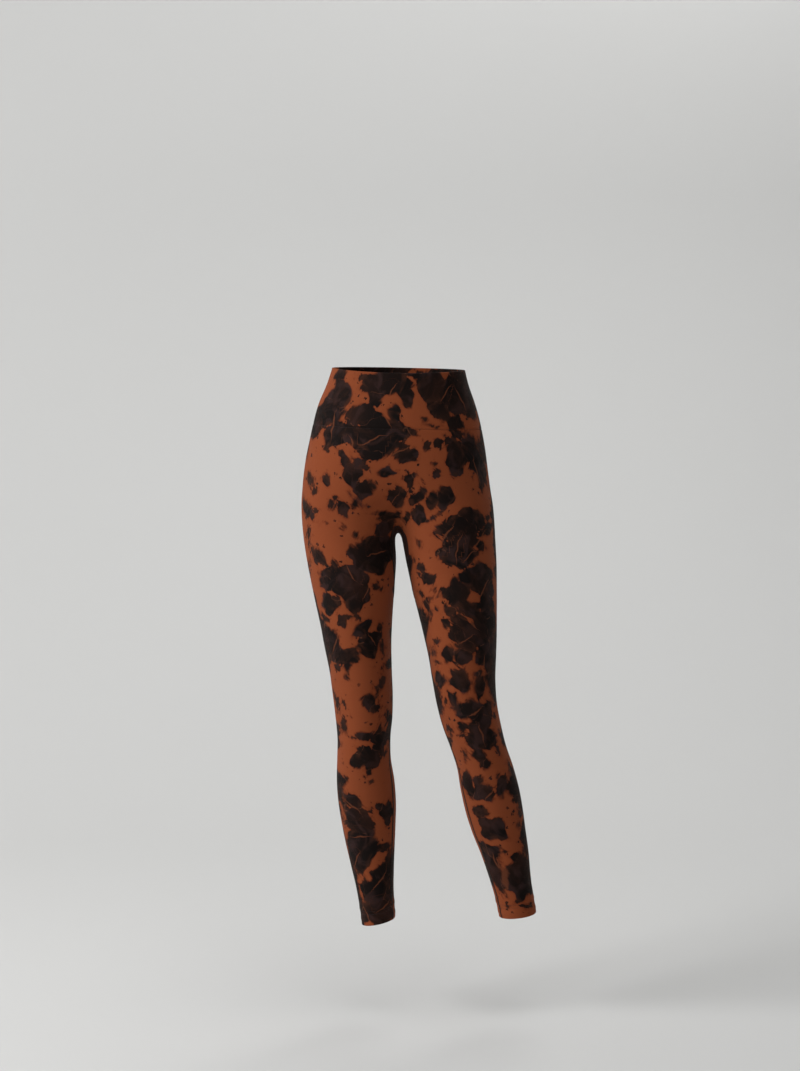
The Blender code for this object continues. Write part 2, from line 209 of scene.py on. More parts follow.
# %% Sections of the right leg
# The reach to the front and back is measured from the leg's own axis at forward (minus is towards the
# front), and turn is how far the inseam has gone round to the front, in degrees.
LEG_COLUMNS = ("drop", "across", "forward", "half", "front", "back", "rise", "turn")
RIGHT_LEG = (
    (0.060, -0.0480, 0.004, 0.0860, 0.078, 0.090, 0.00, 0),
    (0.120, -0.0590, 0.004, 0.0870, 0.082, 0.098, 0.00, 0),
    (0.160, -0.0690, 0.004, 0.0895, 0.086, 0.107, 0.00, 0),
    (0.200, -0.0777, 0.004, 0.0902, 0.088, 0.115, 0.00, 0),
    (0.240, -0.0838, 0.003, 0.0882, 0.088, 0.117, 0.00, 0),
    (0.270, -0.0858, 0.003, 0.0853, 0.087, 0.111, 0.00, 0),
    (0.300, -0.0864, 0.002, 0.0821, 0.086, 0.102, 0.00, 0),
    (0.340, -0.0827, -0.003, 0.0797, 0.083, 0.093, 0.00, 0),
    (0.380, -0.0797, -0.008, 0.0747, 0.079, 0.088, 0.00, 0),
    (0.420, -0.0774, -0.011, 0.0688, 0.075, 0.080, 0.00, 0),
    (0.460, -0.0742, -0.013, 0.0632, 0.071, 0.073, 0.00, 0),
    (0.500, -0.0710, -0.015, 0.0591, 0.067, 0.068, 0.00, 2),
    (0.540, -0.0664, -0.015, 0.0557, 0.064, 0.063, 0.00, 5),
    (0.580, -0.0629, -0.015, 0.0538, 0.061, 0.059, 0.00, 8),
    (0.620, -0.0607, -0.014, 0.0512, 0.058, 0.055, 0.00, 12),
    (0.660, -0.0607, -0.012, 0.0476, 0.056, 0.053, 0.00, 16),
    (0.700, -0.0605, -0.009, 0.0484, 0.053, 0.053, 0.02, 20),
    (0.740, -0.0580, -0.004, 0.0520, 0.050, 0.056, 0.04, 23),
    (0.780, -0.0552, 0.002, 0.0520, 0.049, 0.057, 0.06, 25),
    (0.820, -0.0525, 0.006, 0.0487, 0.047, 0.054, 0.08, 27),
    (0.860, -0.0495, 0.006, 0.0440, 0.043, 0.048, 0.10, 28),
    (0.900, -0.0455, 0.005, 0.0386, 0.039, 0.042, 0.12, 29),
    (0.940, -0.0412, 0.004, 0.0337, 0.036, 0.038, 0.15, 30),
    (0.984, -0.0362, 0.005, 0.0314, 0.036, 0.037, 0.21, 30),
    (1.000, -0.0349, 0.005, 0.0306, 0.036, 0.037, 0.21, 30),
)
print("right leg:", len(RIGHT_LEG), "sections")

# %% Sections of the left leg
LEFT_LEG = (
    (0.060, 0.0460, 0.004, 0.0850, 0.078, 0.090, 0.00, 0),
    (0.120, 0.0560, 0.004, 0.0860, 0.082, 0.098, 0.00, 0),
    (0.160, 0.0640, 0.004, 0.0880, 0.086, 0.107, 0.00, 0),
    (0.200, 0.0736, 0.003, 0.0886, 0.088, 0.115, 0.00, 0),
    (0.240, 0.0817, 0.001, 0.0877, 0.088, 0.117, 0.00, 0),
    (0.270, 0.0861, 0.000, 0.0863, 0.087, 0.111, 0.00, 0),
    (0.300, 0.0906, -0.002, 0.0837, 0.086, 0.102, 0.00, 0),
    (0.350, 0.0964, -0.009, 0.0800, 0.083, 0.092, 0.00, 0),
    (0.390, 0.1011, -0.018, 0.0756, 0.079, 0.085, 0.00, 0),
    (0.430, 0.1064, -0.023, 0.0703, 0.075, 0.078, 0.00, 0),
    (0.470, 0.1114, -0.027, 0.0652, 0.071, 0.072, 0.00, 0),
    (0.510, 0.1152, -0.031, 0.0602, 0.067, 0.067, 0.00, 2),
    (0.550, 0.1179, -0.035, 0.0563, 0.063, 0.063, 0.00, 5),
    (0.590, 0.1225, -0.038, 0.0539, 0.060, 0.059, 0.02, 8),
    (0.630, 0.1310, -0.040, 0.0525, 0.058, 0.056, 0.04, 12),
    (0.670, 0.1431, -0.040, 0.0503, 0.056, 0.054, 0.06, 16),
    (0.710, 0.1562, -0.036, 0.0506, 0.053, 0.054, 0.08, 20),
    (0.750, 0.1649, -0.029, 0.0527, 0.050, 0.057, 0.10, 23),
    (0.790, 0.1729, -0.019, 0.0522, 0.049, 0.057, 0.11, 26),
    (0.830, 0.1817, -0.014, 0.0488, 0.047, 0.054, 0.12, 28),
    (0.870, 0.1924, -0.012, 0.0435, 0.043, 0.048, 0.12, 29),
    (0.910, 0.2013, -0.012, 0.0385, 0.039, 0.042, 0.12, 30),
    (0.950, 0.2102, -0.011, 0.0352, 0.036, 0.038, 0.12, 30),
    (0.984, 0.2170, -0.009, 0.0341, 0.036, 0.037, 0.12, 30),
)
LEGS = {"right": RIGHT_LEG, "left": LEFT_LEG}
OUTWARD = {"right": -1.0, "left": 1.0}
print("left leg:", len(LEFT_LEG), "sections")

# %% Reading the tables
@functools.cache
def curve_through(columns, rows, name):
    """A table's first column, one other column, and how steeply that one changes at each row."""
    at = np.array([row[0] for row in rows])
    values = np.array([row[columns.index(name)] for row in rows])
    return at, values, np.gradient(values, at)


def smooth_column(columns, rows, name, drop):
    """One column of a table of sections, read at any drop along a curve through its rows."""
    at, values, slopes = curve_through(columns, rows, name)
    place = np.clip(drop, at[0], at[-1])
    low = np.clip(np.searchsorted(at, place, side="right") - 1, 0, len(at) - 2)
    span = at[low + 1] - at[low]
    t = (place - at[low]) / span
    start, finish = values[low], values[low + 1]
    lift = (2 * t**3 - 3 * t**2 + 1) * start + (3 * t**2 - 2 * t**3) * finish
    return lift + (t**3 - 2 * t**2 + t) * span * slopes[low] + (t**3 - t**2) * span * slopes[low + 1]


# %% [markdown]
# ## A distance for every point in space
#
# An oval has no ready-made distance, so a close guess is made from how far a point lies from the middle
# and how far the oval reaches that way. Two distances are run together by taking the smaller one, and
# sinking a little below it where both are nearly alike. That rounds the groove between two shapes. How
# the distance changes from place to place gives the way straight out of the cloth.

# %% Distance from the form
def oval_distance(x, y, rounding, half, front, back, square):
    """How far a point lies outside an oval that rounds off along rounding, a pair (way, depth)."""
    depth = np.where(y < 0, front, back)
    way, full = rounding
    ring = (np.abs(x / half) ** square + np.abs(y / depth) ** square) ** (CAP_SHARPNESS / square)
    share = (ring + (way / full) ** CAP_SHARPNESS) ** (1 / CAP_SHARPNESS) + TINY
    return np.sqrt(x**2 + y**2 + way**2) * (1 - 1 / share)


def trunk_distance(points):
    """How far each point lies outside the trunk."""
    drop = -points[..., 2]
    across, half, front, back, square = (
        smooth_column(TRUNK_COLUMNS, TRUNK, name, drop)
        for name in ("across", "half", "front", "back", "square")
    )
    rounding = (np.maximum(drop - TRUNK_CAP_DROP, 0), TRUNK_CAP_DEPTH)
    return oval_distance(points[..., 0] - across, points[..., 1], rounding, half, front, back, square)


def leg_distance(points, side):
    """How far each point lies outside one leg."""
    drop = -points[..., 2]
    across, forward, half, front, back = (
        smooth_column(LEG_COLUMNS, LEGS[side], name, drop)
        for name in ("across", "forward", "half", "front", "back")
    )
    rounding = (np.maximum(THIGH_CAP_DROP - drop, 0), THIGH_CAP_DEPTH)
    x, y = points[..., 0] - across, points[..., 1] - forward
    return oval_distance(x, y, rounding, half, front, back, LEG_SQUARE)


# %% Legs and trunk run together
def soft_union(one, other, blend):
    """The distance from two forms run together, where blend says how softly."""
    overlap = np.maximum(blend - np.abs(one - other), 0) / blend
    return np.minimum(one, other) - overlap**2 * blend / 4


def form_distance(points):
    """How far a point lies outside the cloth: both legs run together, and then into the trunk."""
    legs = soft_union(leg_distance(points, "right"), leg_distance(points, "left"), CROTCH_BLEND)
    return soft_union(legs, trunk_distance(points), HIP_BLEND)


def slope_out(points):
    """How the distance from the form changes in each direction."""
    slope = np.empty_like(points)
    for axis in range(3):
        aside = np.zeros(3)
        aside[axis] = SLOPE_REACH
        slope[..., axis] = form_distance(points + aside) - form_distance(points - aside)
    return slope / (2 * SLOPE_REACH)


def way_out(points):
    """The direction straight out of the cloth at each point, one metre long."""
    slope = slope_out(points)
    return slope / np.linalg.norm(slope, axis=-1, keepdims=True)


# %% [markdown]
# ## Places on the cloth
#
# Each u and drop gives a rough point on the trunk's oval and one on the leg's, mixed by how far down
# the fork it lies. Below the crotch the two inseams start from one point and part in an arch. The rough
# points are then pushed along the distance until they lie on the form. Most of them stay level, but
# those beside the crotch may climb, because the form is nearly flat there.

# %% Settling points on the form
def settle(points, free_rise):
    """Move rough points onto the cloth, level except where free_rise lets them climb."""
    settled = points.reshape(-1, 3).copy()
    rise = free_rise.ravel()
    moving = np.arange(len(settled))
    for _ in range(SETTLE_ROUNDS):
        away = form_distance(settled[moving])
        moving, away = moving[np.abs(away) > CLOSE_ENOUGH], away[np.abs(away) > CLOSE_ENOUGH]
        way = slope_out(settled[moving])
        way[:, 2] *= rise[moving]
        length = np.maximum((way**2).sum(-1), FLATTEST_SLOPE)
        settled[moving] -= way * (away / length)[:, None]
    return settled.reshape(points.shape)


def round_trunk(side, u, trunk):
    """Where u comes to on the trunk's oval."""
    angle = math.pi * u
    depth = np.where(u < 0.5, trunk["front"], trunk["back"])
    return trunk["across"] + OUTWARD[side] * trunk["half"] * np.sin(angle), -depth * np.cos(angle)


def round_leg(side, u, drop, leg, inner):
    """Where u comes to on the leg's oval, which starts under the crotch and widens in an arch."""
    out = OUTWARD[side]
    angle = 2 * math.pi * u + np.radians(leg["turn"])
    depth = np.where(np.sin(angle) > 0, leg["front"], leg["back"])
    parting = np.sqrt(1 - (1 - np.clip((drop - CROTCH_DROP) / ARCH_DROP, 0, 1)) ** 2)
    inner_x = (leg["across"] - out * leg["half"]) * parting
    forward = CROTCH_FORWARD + (leg["forward"] - CROTCH_FORWARD) * (1 - inner * (1 - parting))
    middle = (inner_x + leg["across"] + out * leg["half"]) / 2
    return middle - (middle - inner_x) * np.cos(angle), forward - depth * np.sin(angle)


# %% Points of the cloth
WAIST_READS = 61  # places round each half of the waist edge, to measure it


def cloth(side, u, drop):
    """Points of the garment's outer face at u round and drop down, both arrays of one shape."""
    u, drop = np.broadcast_arrays(np.asarray(u, float), np.asarray(drop, float))
    bend = np.clip((drop - FORK_DROP) / (CROTCH_DROP - FORK_DROP), 0, 1) * math.pi / 2
    leg_share = 1 - np.cos(bend)
    inner = np.cos(math.pi * u) ** 2  # 1 at both ends of u and 0 at the outside
    trunk = {name: smooth_column(TRUNK_COLUMNS, TRUNK, name, drop) for name in TRUNK_COLUMNS}
    at_leg = np.maximum(drop, CROTCH_DROP)
    leg = {name: smooth_column(LEG_COLUMNS, LEGS[side], name, at_leg) for name in LEG_COLUMNS}
    trunk_x, trunk_y = round_trunk(side, u, trunk)
    leg_x, leg_y = round_leg(side, u, drop, leg, inner)
    x = (1 - leg_share) * trunk_x + leg_share * leg_x
    y = (1 - leg_share) * trunk_y + leg_share * leg_y

    fork_z = FORK_DROP + (CROTCH_DROP - FORK_DROP) * np.sin(bend)
    z = -drop - np.where(drop < CROTCH_DROP, fork_z - drop, 0) * inner * (bend > 0)
    z += (1 - leg_share) * trunk["rise"] * x
    z += leg_share * leg["rise"] * (x - leg["across"])
    z -= LOWER[side] * np.clip((drop - LOWER_FROM) / (LEG_DROP - LOWER_FROM), 0, 1)
    dip = FRONT_DIP * np.clip(1 - drop / WAISTBAND_DROP, 0, 1) ** 2
    z -= dip * np.clip(-y / trunk["front"], 0, 1) ** 2
    below_fork = np.clip((drop - CROTCH_DROP) / CROTCH_FADE, 0, 1)
    free_rise = np.sin(bend) * inner**2 * (1 + np.cos(math.pi * below_fork)) / 2
    return settle(np.stack([x, y, z], -1), free_rise)


waist_edge = [cloth(side, np.linspace(0, 1, WAIST_READS), 0.0) for side in LEGS]
waist_girth = sum(np.linalg.norm(np.diff(half, axis=0), axis=1).sum() for half in waist_edge)
print("waist edge:", round(waist_girth, 3), "m round")

# %% [markdown]
# ## The gusset's outline
#
# Leggings that people move in have a gusset, a piece let in under the crotch so that four seams never
# meet in one point. This one has a low arch in front, a longer tongue behind, and a point that runs
# down each inner thigh to the inseam. Its table gives the reach from the crotch line as a share of half
# the way round. The table is read against the root of the drop below its tip, which turns a pointed top
# into a round arch.

# %% Gusset outline
GUSSET_COLUMNS = ("drop", "front", "back")
GUSSET = (
    (0.207, 0.000, 0.000),
    (0.211, 0.000, 0.014),
    (0.221, 0.000, 0.031),
    (0.235, 0.000, 0.048),
    (0.248, 0.000, 0.062),
    (0.259, 0.000, 0.070),
    (0.262, 0.014, 0.0715),
    (0.268, 0.029, 0.0735),
    (0.276, 0.046, 0.076),
    (0.284, 0.060, 0.077),
    (0.291, 0.070, 0.077),
    (0.297, 0.073, 0.077),
    (0.306, 0.073, 0.075),
    (0.325, 0.067, 0.068),
    (0.350, 0.054, 0.054),
    (0.380, 0.030, 0.030),
    (0.410, 0.000, 0.000),
)
GUSSET_TIP = {"front": 0.259, "back": 0.207}
GUSSET_END = GUSSET[-1][0]


def gusset_reach(name, drop):
    """How far the gusset reaches to the front or the back at each drop."""
    tip = GUSSET_TIP[name]
    rows = tuple(
        (math.sqrt(row[0] - tip), row[GUSSET_COLUMNS.index(name)]) for row in GUSSET if row[0] >= tip
    )
    below = np.sqrt(np.clip(drop - tip, 0, GUSSET_END - tip))
    return smooth_column(("root", name), rows, name, below)


# %% [markdown]
# ## Seams as curves
#
# A seam changes the cloth beside it: a flatlock lies on a low welt where the two cut edges meet, and a
# sewn-on band or a hem sinks into a soft channel. To shape the cloth by its distance from a seam, each
# seam is first a dense chain of points. The same chains carry the stitches later, so thread and welt
# can't drift apart.

# %% Seam chains
CHAIN_STEP = 0.0006
CHAIN_READS, BACK_READS = 121, 61  # places read along a seam before it is resampled
BACK_TIP, FRONT_TIP = GUSSET_TIP["back"], GUSSET_TIP["front"]
LEG_END = LEG_DROP - HEM_DEPTH  # the hem's upper stitch line
HEM_NEEDLES = 0.0056  # between the two rows of stitches that hold the hem


def resample(points, step):
    """The same chain with its points evenly spaced."""
    lengths = np.linalg.norm(np.diff(points, axis=0), axis=1)
    along = np.concatenate([[0], np.cumsum(lengths)])
    places = np.linspace(0, along[-1], max(2, round(along[-1] / step) + 1))
    return np.stack([np.interp(places, along, points[:, axis]) for axis in range(3)], -1)


def down_chain(side, u, drops):
    """A seam that runs down the cloth."""
    return resample(cloth(side, u, drops), CHAIN_STEP)


def round_chain(side, drop):
    """Half of a seam that runs round the garment, or a whole one round a leg."""
    return resample(cloth(side, np.linspace(0, 1, CHAIN_READS), drop), CHAIN_STEP)


def gusset_chain(side, name):
    """One edge of the gusset, from its tip to the point on the inner thigh."""
    drops = GUSSET_TIP[name] + (GUSSET_END - GUSSET_TIP[name]) * np.linspace(0, 1, CHAIN_READS) ** 2
    reach = gusset_reach(name, drops)
    return down_chain(side, reach if name == "front" else 1 - reach, drops)


# %% Every seam
inseam_drops = np.linspace(GUSSET_END, LEG_DROP, CHAIN_READS)
flatlocks = {
    "inseam_right": [down_chain("right", 0, inseam_drops)],
    "inseam_left": [down_chain("left", 0, inseam_drops)],
    "gusset_front": [gusset_chain("right", "front"), gusset_chain("left", "front")],
    "gusset_back": [gusset_chain("right", "back"), gusset_chain("left", "back")],
    "centre_back": [down_chain("left", 1, np.linspace(0.0, BACK_TIP, BACK_READS))],
}
waist_seam = [round_chain(side, WAISTBAND_DROP) for side in LEGS]
hem_seams = {
    side: [round_chain(side, LEG_END), round_chain(side, LEG_END + HEM_NEEDLES)]
    for side in LEGS
}
for seam_name, chains in flatlocks.items():
    print(seam_name, "seam:", round(sum(len(chain) for chain in chains) * CHAIN_STEP, 3), "m")


def chain_tree(chains):
    """A search tree that finds the nearest point of some chains."""
    points = np.concatenate(chains)
    tree = kdtree.KDTree(len(points))
    for index, point in enumerate(points):
        tree.insert(point, index)
    tree.balance()
    return tree


def distance_to(tree, points):
    """How far each point is from the nearest one in the tree."""
    return np.array([tree.find(point)[2] for point in points])


# %% [markdown]
# ## Relief beside the seams, and creases
#
# Tight jersey hardly creases, but it isn't a balloon either. It dips along the waist seam, the hem is
# held in by its stitches and swells a little below them, and there are soft drag lines at the groin,
# behind the knees, under the seat and above the ankles. Each crease is a long soft trough, placed one
# by one and uneven on purpose.

# %% Relief beside the seams
WELT_HALF, WELT_HEIGHT = 0.0028, 0.00028  # a flatlock's welt
WELT_TOP, WELT_SIDE = 0.7, 0.6  # its flat top and its sloping side, as shares of its half width
CHANNEL_HALF, CHANNEL_DEPTH = 0.0030, 0.00040  # the dip along the waist seam
NEEDLE_HALF, NEEDLE_DEPTH = 0.0018, 0.00045  # the dip along a row of stitches in the hem
HEM_SWELL, SWELL_AT, SWELL_HALF = 0.0007, 0.0095, 0.0075  # the cloth's swell beside the hem's stitches
EDGE_ROUND = 0.0005  # a cut edge rolls in by this at a seam
EDGE_LEFT = 0.9
SAG_SIZE, SAG_DEPTH = 0.045, 0.00030  # slow unevenness of the whole cloth

flatlock_tree = chain_tree([chain for chains in flatlocks.values() for chain in chains])
waist_tree = chain_tree(waist_seam)
hem_tree = chain_tree([chains[0] for chains in hem_seams.values()])
needle_tree = chain_tree([chains[1] for chains in hem_seams.values()])


def fall(distance, half):
    """1 on a line and 0 at half and beyond, with a round top and a soft foot."""
    share = np.clip(distance / half, 0, 1)
    return (1 - share**2) ** 2


def rolled(distance, radius):
    """How far the face of a rolled edge falls away, by the distance from the edge."""
    short = np.clip(1 - distance / radius, 0, 1)
    return radius * (1 - np.sqrt(1 - (EDGE_LEFT * short) ** 2))


print("points on flatlocks:", sum(len(chain) for chains in flatlocks.values() for chain in chains))

# %% Creases
# Where each crease's middle is, half its length, how wide it is, which way it leans and how deep it is.
Crease = namedtuple("Crease", "side u drop long wide lean deep")
CREASE_NEAR = 1.5  # no crease reaches further than this many of its half lengths
CREASES = (
    ("right", 0.10, 0.222, 0.050, 0.0060, 52, 0.0009),
    ("right", 0.07, 0.245, 0.036, 0.0050, 40, 0.0008),
    ("left", 0.09, 0.228, 0.046, 0.0060, -50, 0.0009),
    ("left", 0.06, 0.250, 0.030, 0.0045, -36, 0.0007),
    ("right", 0.78, 0.330, 0.060, 0.0085, 82, 0.0013),
    ("right", 0.70, 0.348, 0.038, 0.0060, 74, 0.0008),
    ("left", 0.80, 0.326, 0.056, 0.0085, -80, 0.0012),
    ("left", 0.72, 0.345, 0.042, 0.0065, -70, 0.0009),
    ("right", 0.72, 0.625, 0.036, 0.0055, 84, 0.0012),
    ("right", 0.68, 0.648, 0.028, 0.0045, 96, 0.0009),
    ("right", 0.79, 0.641, 0.024, 0.0040, 76, 0.0008),
    ("left", 0.74, 0.634, 0.036, 0.0055, -86, 0.0012),
    ("left", 0.66, 0.655, 0.027, 0.0045, -95, 0.0008),
    ("left", 0.82, 0.615, 0.022, 0.0040, -78, 0.0008),
    ("right", 0.30, 0.930, 0.020, 0.0040, 80, 0.0006),
    ("right", 0.62, 0.918, 0.024, 0.0045, 96, 0.0008),
    ("left", 0.36, 0.925, 0.021, 0.0040, -82, 0.0006),
    ("left", 0.60, 0.935, 0.023, 0.0045, -97, 0.0007),
)
print("creases:", len(CREASES))

# %% Laying the creases
def tangents(outs):
    """Two directions in the cloth at each point: level to +X, and down."""
    across = np.array([1.0, 0, 0]) - outs * outs[..., :1]
    across /= np.linalg.norm(across, axis=-1, keepdims=True)
    down = np.cross(outs, across)
    return across, down * np.where(down[..., 2:] > 0, -1, 1)


def crease_frame(crease):
    """A crease with its middle, the way along it and the way beside it."""
    middle = cloth(crease.side, [crease.u], [crease.drop])
    across, down = (way[0] for way in tangents(way_out(middle)))
    turn = math.radians(crease.lean)
    along = down * math.cos(turn) - across * math.sin(turn)
    return crease, middle[0], along, down * math.sin(turn) + across * math.cos(turn)


creases = [crease_frame(Crease(*row)) for row in CREASES]


def crease_depth(points):
    """How far the creases draw the cloth in at each point."""
    depth = np.zeros(len(points))
    for crease, middle, along, beside in creases:
        offset = points - middle
        near = (offset**2).sum(-1) < (CREASE_NEAR * crease.long) ** 2
        across = offset @ beside / crease.wide
        trough = fall(np.abs(offset @ along), crease.long) * np.exp(-(across**2))
        depth += crease.deep * np.where(near, trough, 0)
    return depth


deepest = max(crease.deep for crease, *_ in creases)
print("the deepest crease:", round(deepest * 1000, 1), "mm")

# %% All the relief
def relief(points):
    """How far the outer face stands out of (or sinks below) the plain form at each point."""
    beside_flatlock = distance_to(flatlock_tree, points)
    beside_waist = distance_to(waist_tree, points)
    beside_hem = distance_to(hem_tree, points)
    beside_needle = distance_to(needle_tree, points)
    past_top = np.maximum(beside_flatlock - WELT_HALF * WELT_TOP, 0)
    height = WELT_HEIGHT * fall(past_top, WELT_HALF * WELT_SIDE)
    height -= CHANNEL_DEPTH * fall(beside_waist, CHANNEL_HALF)
    needles = NEEDLE_DEPTH * fall(beside_hem, NEEDLE_HALF)
    height -= needles + NEEDLE_DEPTH * fall(beside_needle, NEEDLE_HALF) / 2
    height += HEM_SWELL * fall(np.abs(beside_needle - SWELL_AT), SWELL_HALF)
    for edge in (beside_flatlock, beside_waist, beside_hem):
        height -= rolled(edge, EDGE_ROUND)
    height += SAG_DEPTH * np.array([noise.noise(Vector(point) / SAG_SIZE) for point in points])
    return height - crease_depth(points)


# %% [markdown]
# ## The dye
#
# The blotches come from dye that was crumpled, clipped and splashed on the sewn garment, so they run
# across seams. Large patches can't be left to chance, because a random texture never gives the same
# balance of bare and dark cloth. So the patches are listed one by one on a chart of the front view. A row
# says how many squares right and down a patch lies, half its width and height, how far its top leans to
# the right in degrees, and how dark it is. Most patches are upright and fully dark, so those two may be
# left out. Where the cloth was folded, a thin streak inside a patch stayed bare, so the chart has those
# too.

# %% Chart of the waist and hips
Blot = namedtuple("Blot", "right down half_width half_height lean dark", defaults=(0, 1))
WAIST_BLOTS = (
    (340, 373, 5, 6, -20, 0.9), (339, 394, 10, 14), (327, 412, 14, 12), (316, 421, 9, 14),
    (335, 434, 11, 12, -15), (352, 433, 9, 15, -20), (363, 414, 14, 9), (379, 436, 24, 16),
    (352, 425, 5, 9, 0, 0.6), (385, 383, 26, 11), (376, 397, 8, 9), (395, 414, 6, 10),
    (372, 452, 14, 6), (345, 458, 3, 10, -35, 0.9), (326, 449, 2, 2.5, 0, 0.6), (407, 396, 7, 9),
    (433, 386, 14, 14), (440, 409, 9, 11), (462, 398, 17, 22, -25), (456, 423, 7, 8), (459, 434, 5, 5),
    (470, 447, 7, 14, -10), (456, 458, 9, 17), (438, 444, 4, 4, 0, 0.8), (449, 440, 2.5, 3.5, 0, 0.9),
    (446, 435, 2, 1.5, 0, 0.6), (426, 446, 3, 4, 0, 0.45), (401, 432, 5, 9),
    (412, 432, 6, 1.8, 30, 0.7), (419, 375, 15, 4), (462, 379, 11, 9), (469, 393, 6, 14, -22),
    (407, 455, 12, 6, 10), (395, 446, 12, 4), (434, 425, 5, 1.2, 0, 0.4), (424, 420, 3, 2, 0, 0.4),
)
RIGHT_HIP_BLOTS = (
    (310, 480, 3.5, 6, 0, 0.5), (314, 490, 2.5, 3, 0, 0.5), (326, 480, 4, 6, 0, 0.9),
    (307, 510, 4, 10, -25), (315, 511, 2.5, 2.5, 0, 0.5), (332, 505, 3, 4, 0, 0.8),
    (336, 500, 3, 2, 40, 0.7), (343, 509, 6.5, 5, 35), (326, 524, 1.5, 1.5, 0, 0.7),
    (342, 527, 1, 3, 0, 0.35), (356, 536, 4, 2.5, 30, 0.8), (350, 494, 1.5, 3, -30, 0.9),
    (352, 474, 9.5, 11), (346, 461, 5, 4, 0, 0.9), (360, 464, 8, 5, 30), (363, 490, 8, 9, 0, 0.9),
    (372, 486, 4, 4, 0, 0.6), (355, 503, 3.5, 5.5, 0, 0.9), (362, 503, 1.5, 3, 0, 0.7),
    (369, 506, 1.5, 1.5, 0, 0.7), (387, 472, 9, 5), (397, 496, 8, 12), (397, 514, 3, 4, 0, 0.8),
    (388, 517, 10, 4, 15), (385, 528, 9, 9), (380, 548, 18, 12), (353, 554, 8, 7, 0, 0.9),
    (318, 557, 5, 10, -40), (309, 537, 1.5, 7, 0, 0.5),
)
LEFT_HIP_BLOTS = (
    (484, 452, 4, 12, -12), (484, 476, 3, 12, -5), (478, 462, 7, 16, -25), (482, 480, 3, 10),
    (437, 474, 3.5, 4, 0, 0.8), (434, 465, 2, 1.5, 0, 0.6), (474, 474, 1, 2, 0, 0.5),
    (472, 479, 1, 2.5, 0, 0.5), (402, 470, 3, 1, 0, 0.6), (414, 475, 3, 2, -30, 0.6),
    (409, 481, 4, 7, 0, 0.9), (411, 491, 1.5, 1.5, 0, 0.7), (423, 481, 1.5, 1.2, 0, 0.6),
    (416.5, 497, 4, 10, 35), (420, 515, 6.5, 9.5), (432, 500, 5, 8), (446, 498, 9.5, 10),
    (407, 518, 1.8, 8, 0, 0.9), (386, 516, 12, 3.5, 22), (434, 518, 0.9, 8, 55, 0.8), (470, 517, 9, 9),
    (462, 535, 15, 20), (480, 522, 5, 8, 20), (443, 528, 4, 9, 55), (447, 535, 2.5, 10, 30, 0.9),
    (486, 530, 3, 10, 50, 0.9), (488, 518, 2, 3, 0, 0.6), (480, 544, 4, 7, -30),
    (419, 543, 1.2, 3, -20, 0.6), (450, 550, 15, 8), (438, 550, 4, 3),
)
print("waist and hips:", len(WAIST_BLOTS) + len(RIGHT_HIP_BLOTS) + len(LEFT_HIP_BLOTS), "patches")

# %% Chart of the thighs
RIGHT_THIGH_BLOTS = (
    (333, 563, 3, 4, 0, 0.8), (374, 560, 20, 13), (345, 579, 24, 12), (328, 582, 8, 8),
    (357, 596, 12, 14), (376, 585, 4, 3, 0, 0.6), (381, 588, 1.5, 3, -30, 0.5), (329, 604, 8, 8),
    (336, 599, 4, 3, 0, 0.8), (340, 604, 2.5, 2.5, 0, 0.8), (325, 617, 3, 3, 0, 0.8),
    (343, 621, 5, 5, 0, 0.9), (350, 618, 3, 2, 0, 0.6), (358, 617, 2, 2.5, 0, 0.8),
    (362, 628, 5, 11, 50), (331, 643, 7, 17, -10), (371, 641, 10, 9), (369, 647, 9, 11),
    (380, 628, 2.5, 5, 0, 0.9), (383, 646, 1.8, 5, 0, 0.6),
)
LEFT_THIGH_BLOTS = (
    (457, 553, 17, 14), (415, 561, 1, 2, 0, 0.4), (436, 556, 1, 1.5, 0, 0.4),
    (421, 569, 3.5, 4.5, 30, 0.9), (419, 575, 1, 3, 0, 0.5), (428, 579, 6, 5),
    (421, 593, 2, 4, -20, 0.7), (435, 592, 2, 3.5, 20, 0.7), (430, 600, 1.5, 6, 30, 0.7),
    (427, 606, 2, 3, -20, 0.7), (436, 609, 2, 2.5, 0, 0.8), (431, 615, 1, 5, 0, 0.35),
    (456, 593, 13, 12), (448, 610, 4, 6, 0, 0.8), (480, 578, 14, 14), (490, 587, 4, 12),
    (486, 600, 6, 10), (488, 612, 6, 12), (470, 608, 11, 7, 25), (480, 617, 7, 8),
    (446, 623, 4.5, 4.5, 0, 0.9), (462, 622, 5, 13, -50, 0.9), (458, 633, 8, 11, 0, 0.8),
    (477, 633, 12, 14), (436, 642, 3, 5, 0, 0.9), (434, 652, 1.5, 4, 10, 0.7), (491, 621, 5, 22),
    (491, 649, 5, 14),
)
print("thighs:", len(RIGHT_THIGH_BLOTS) + len(LEFT_THIGH_BLOTS), "patches")

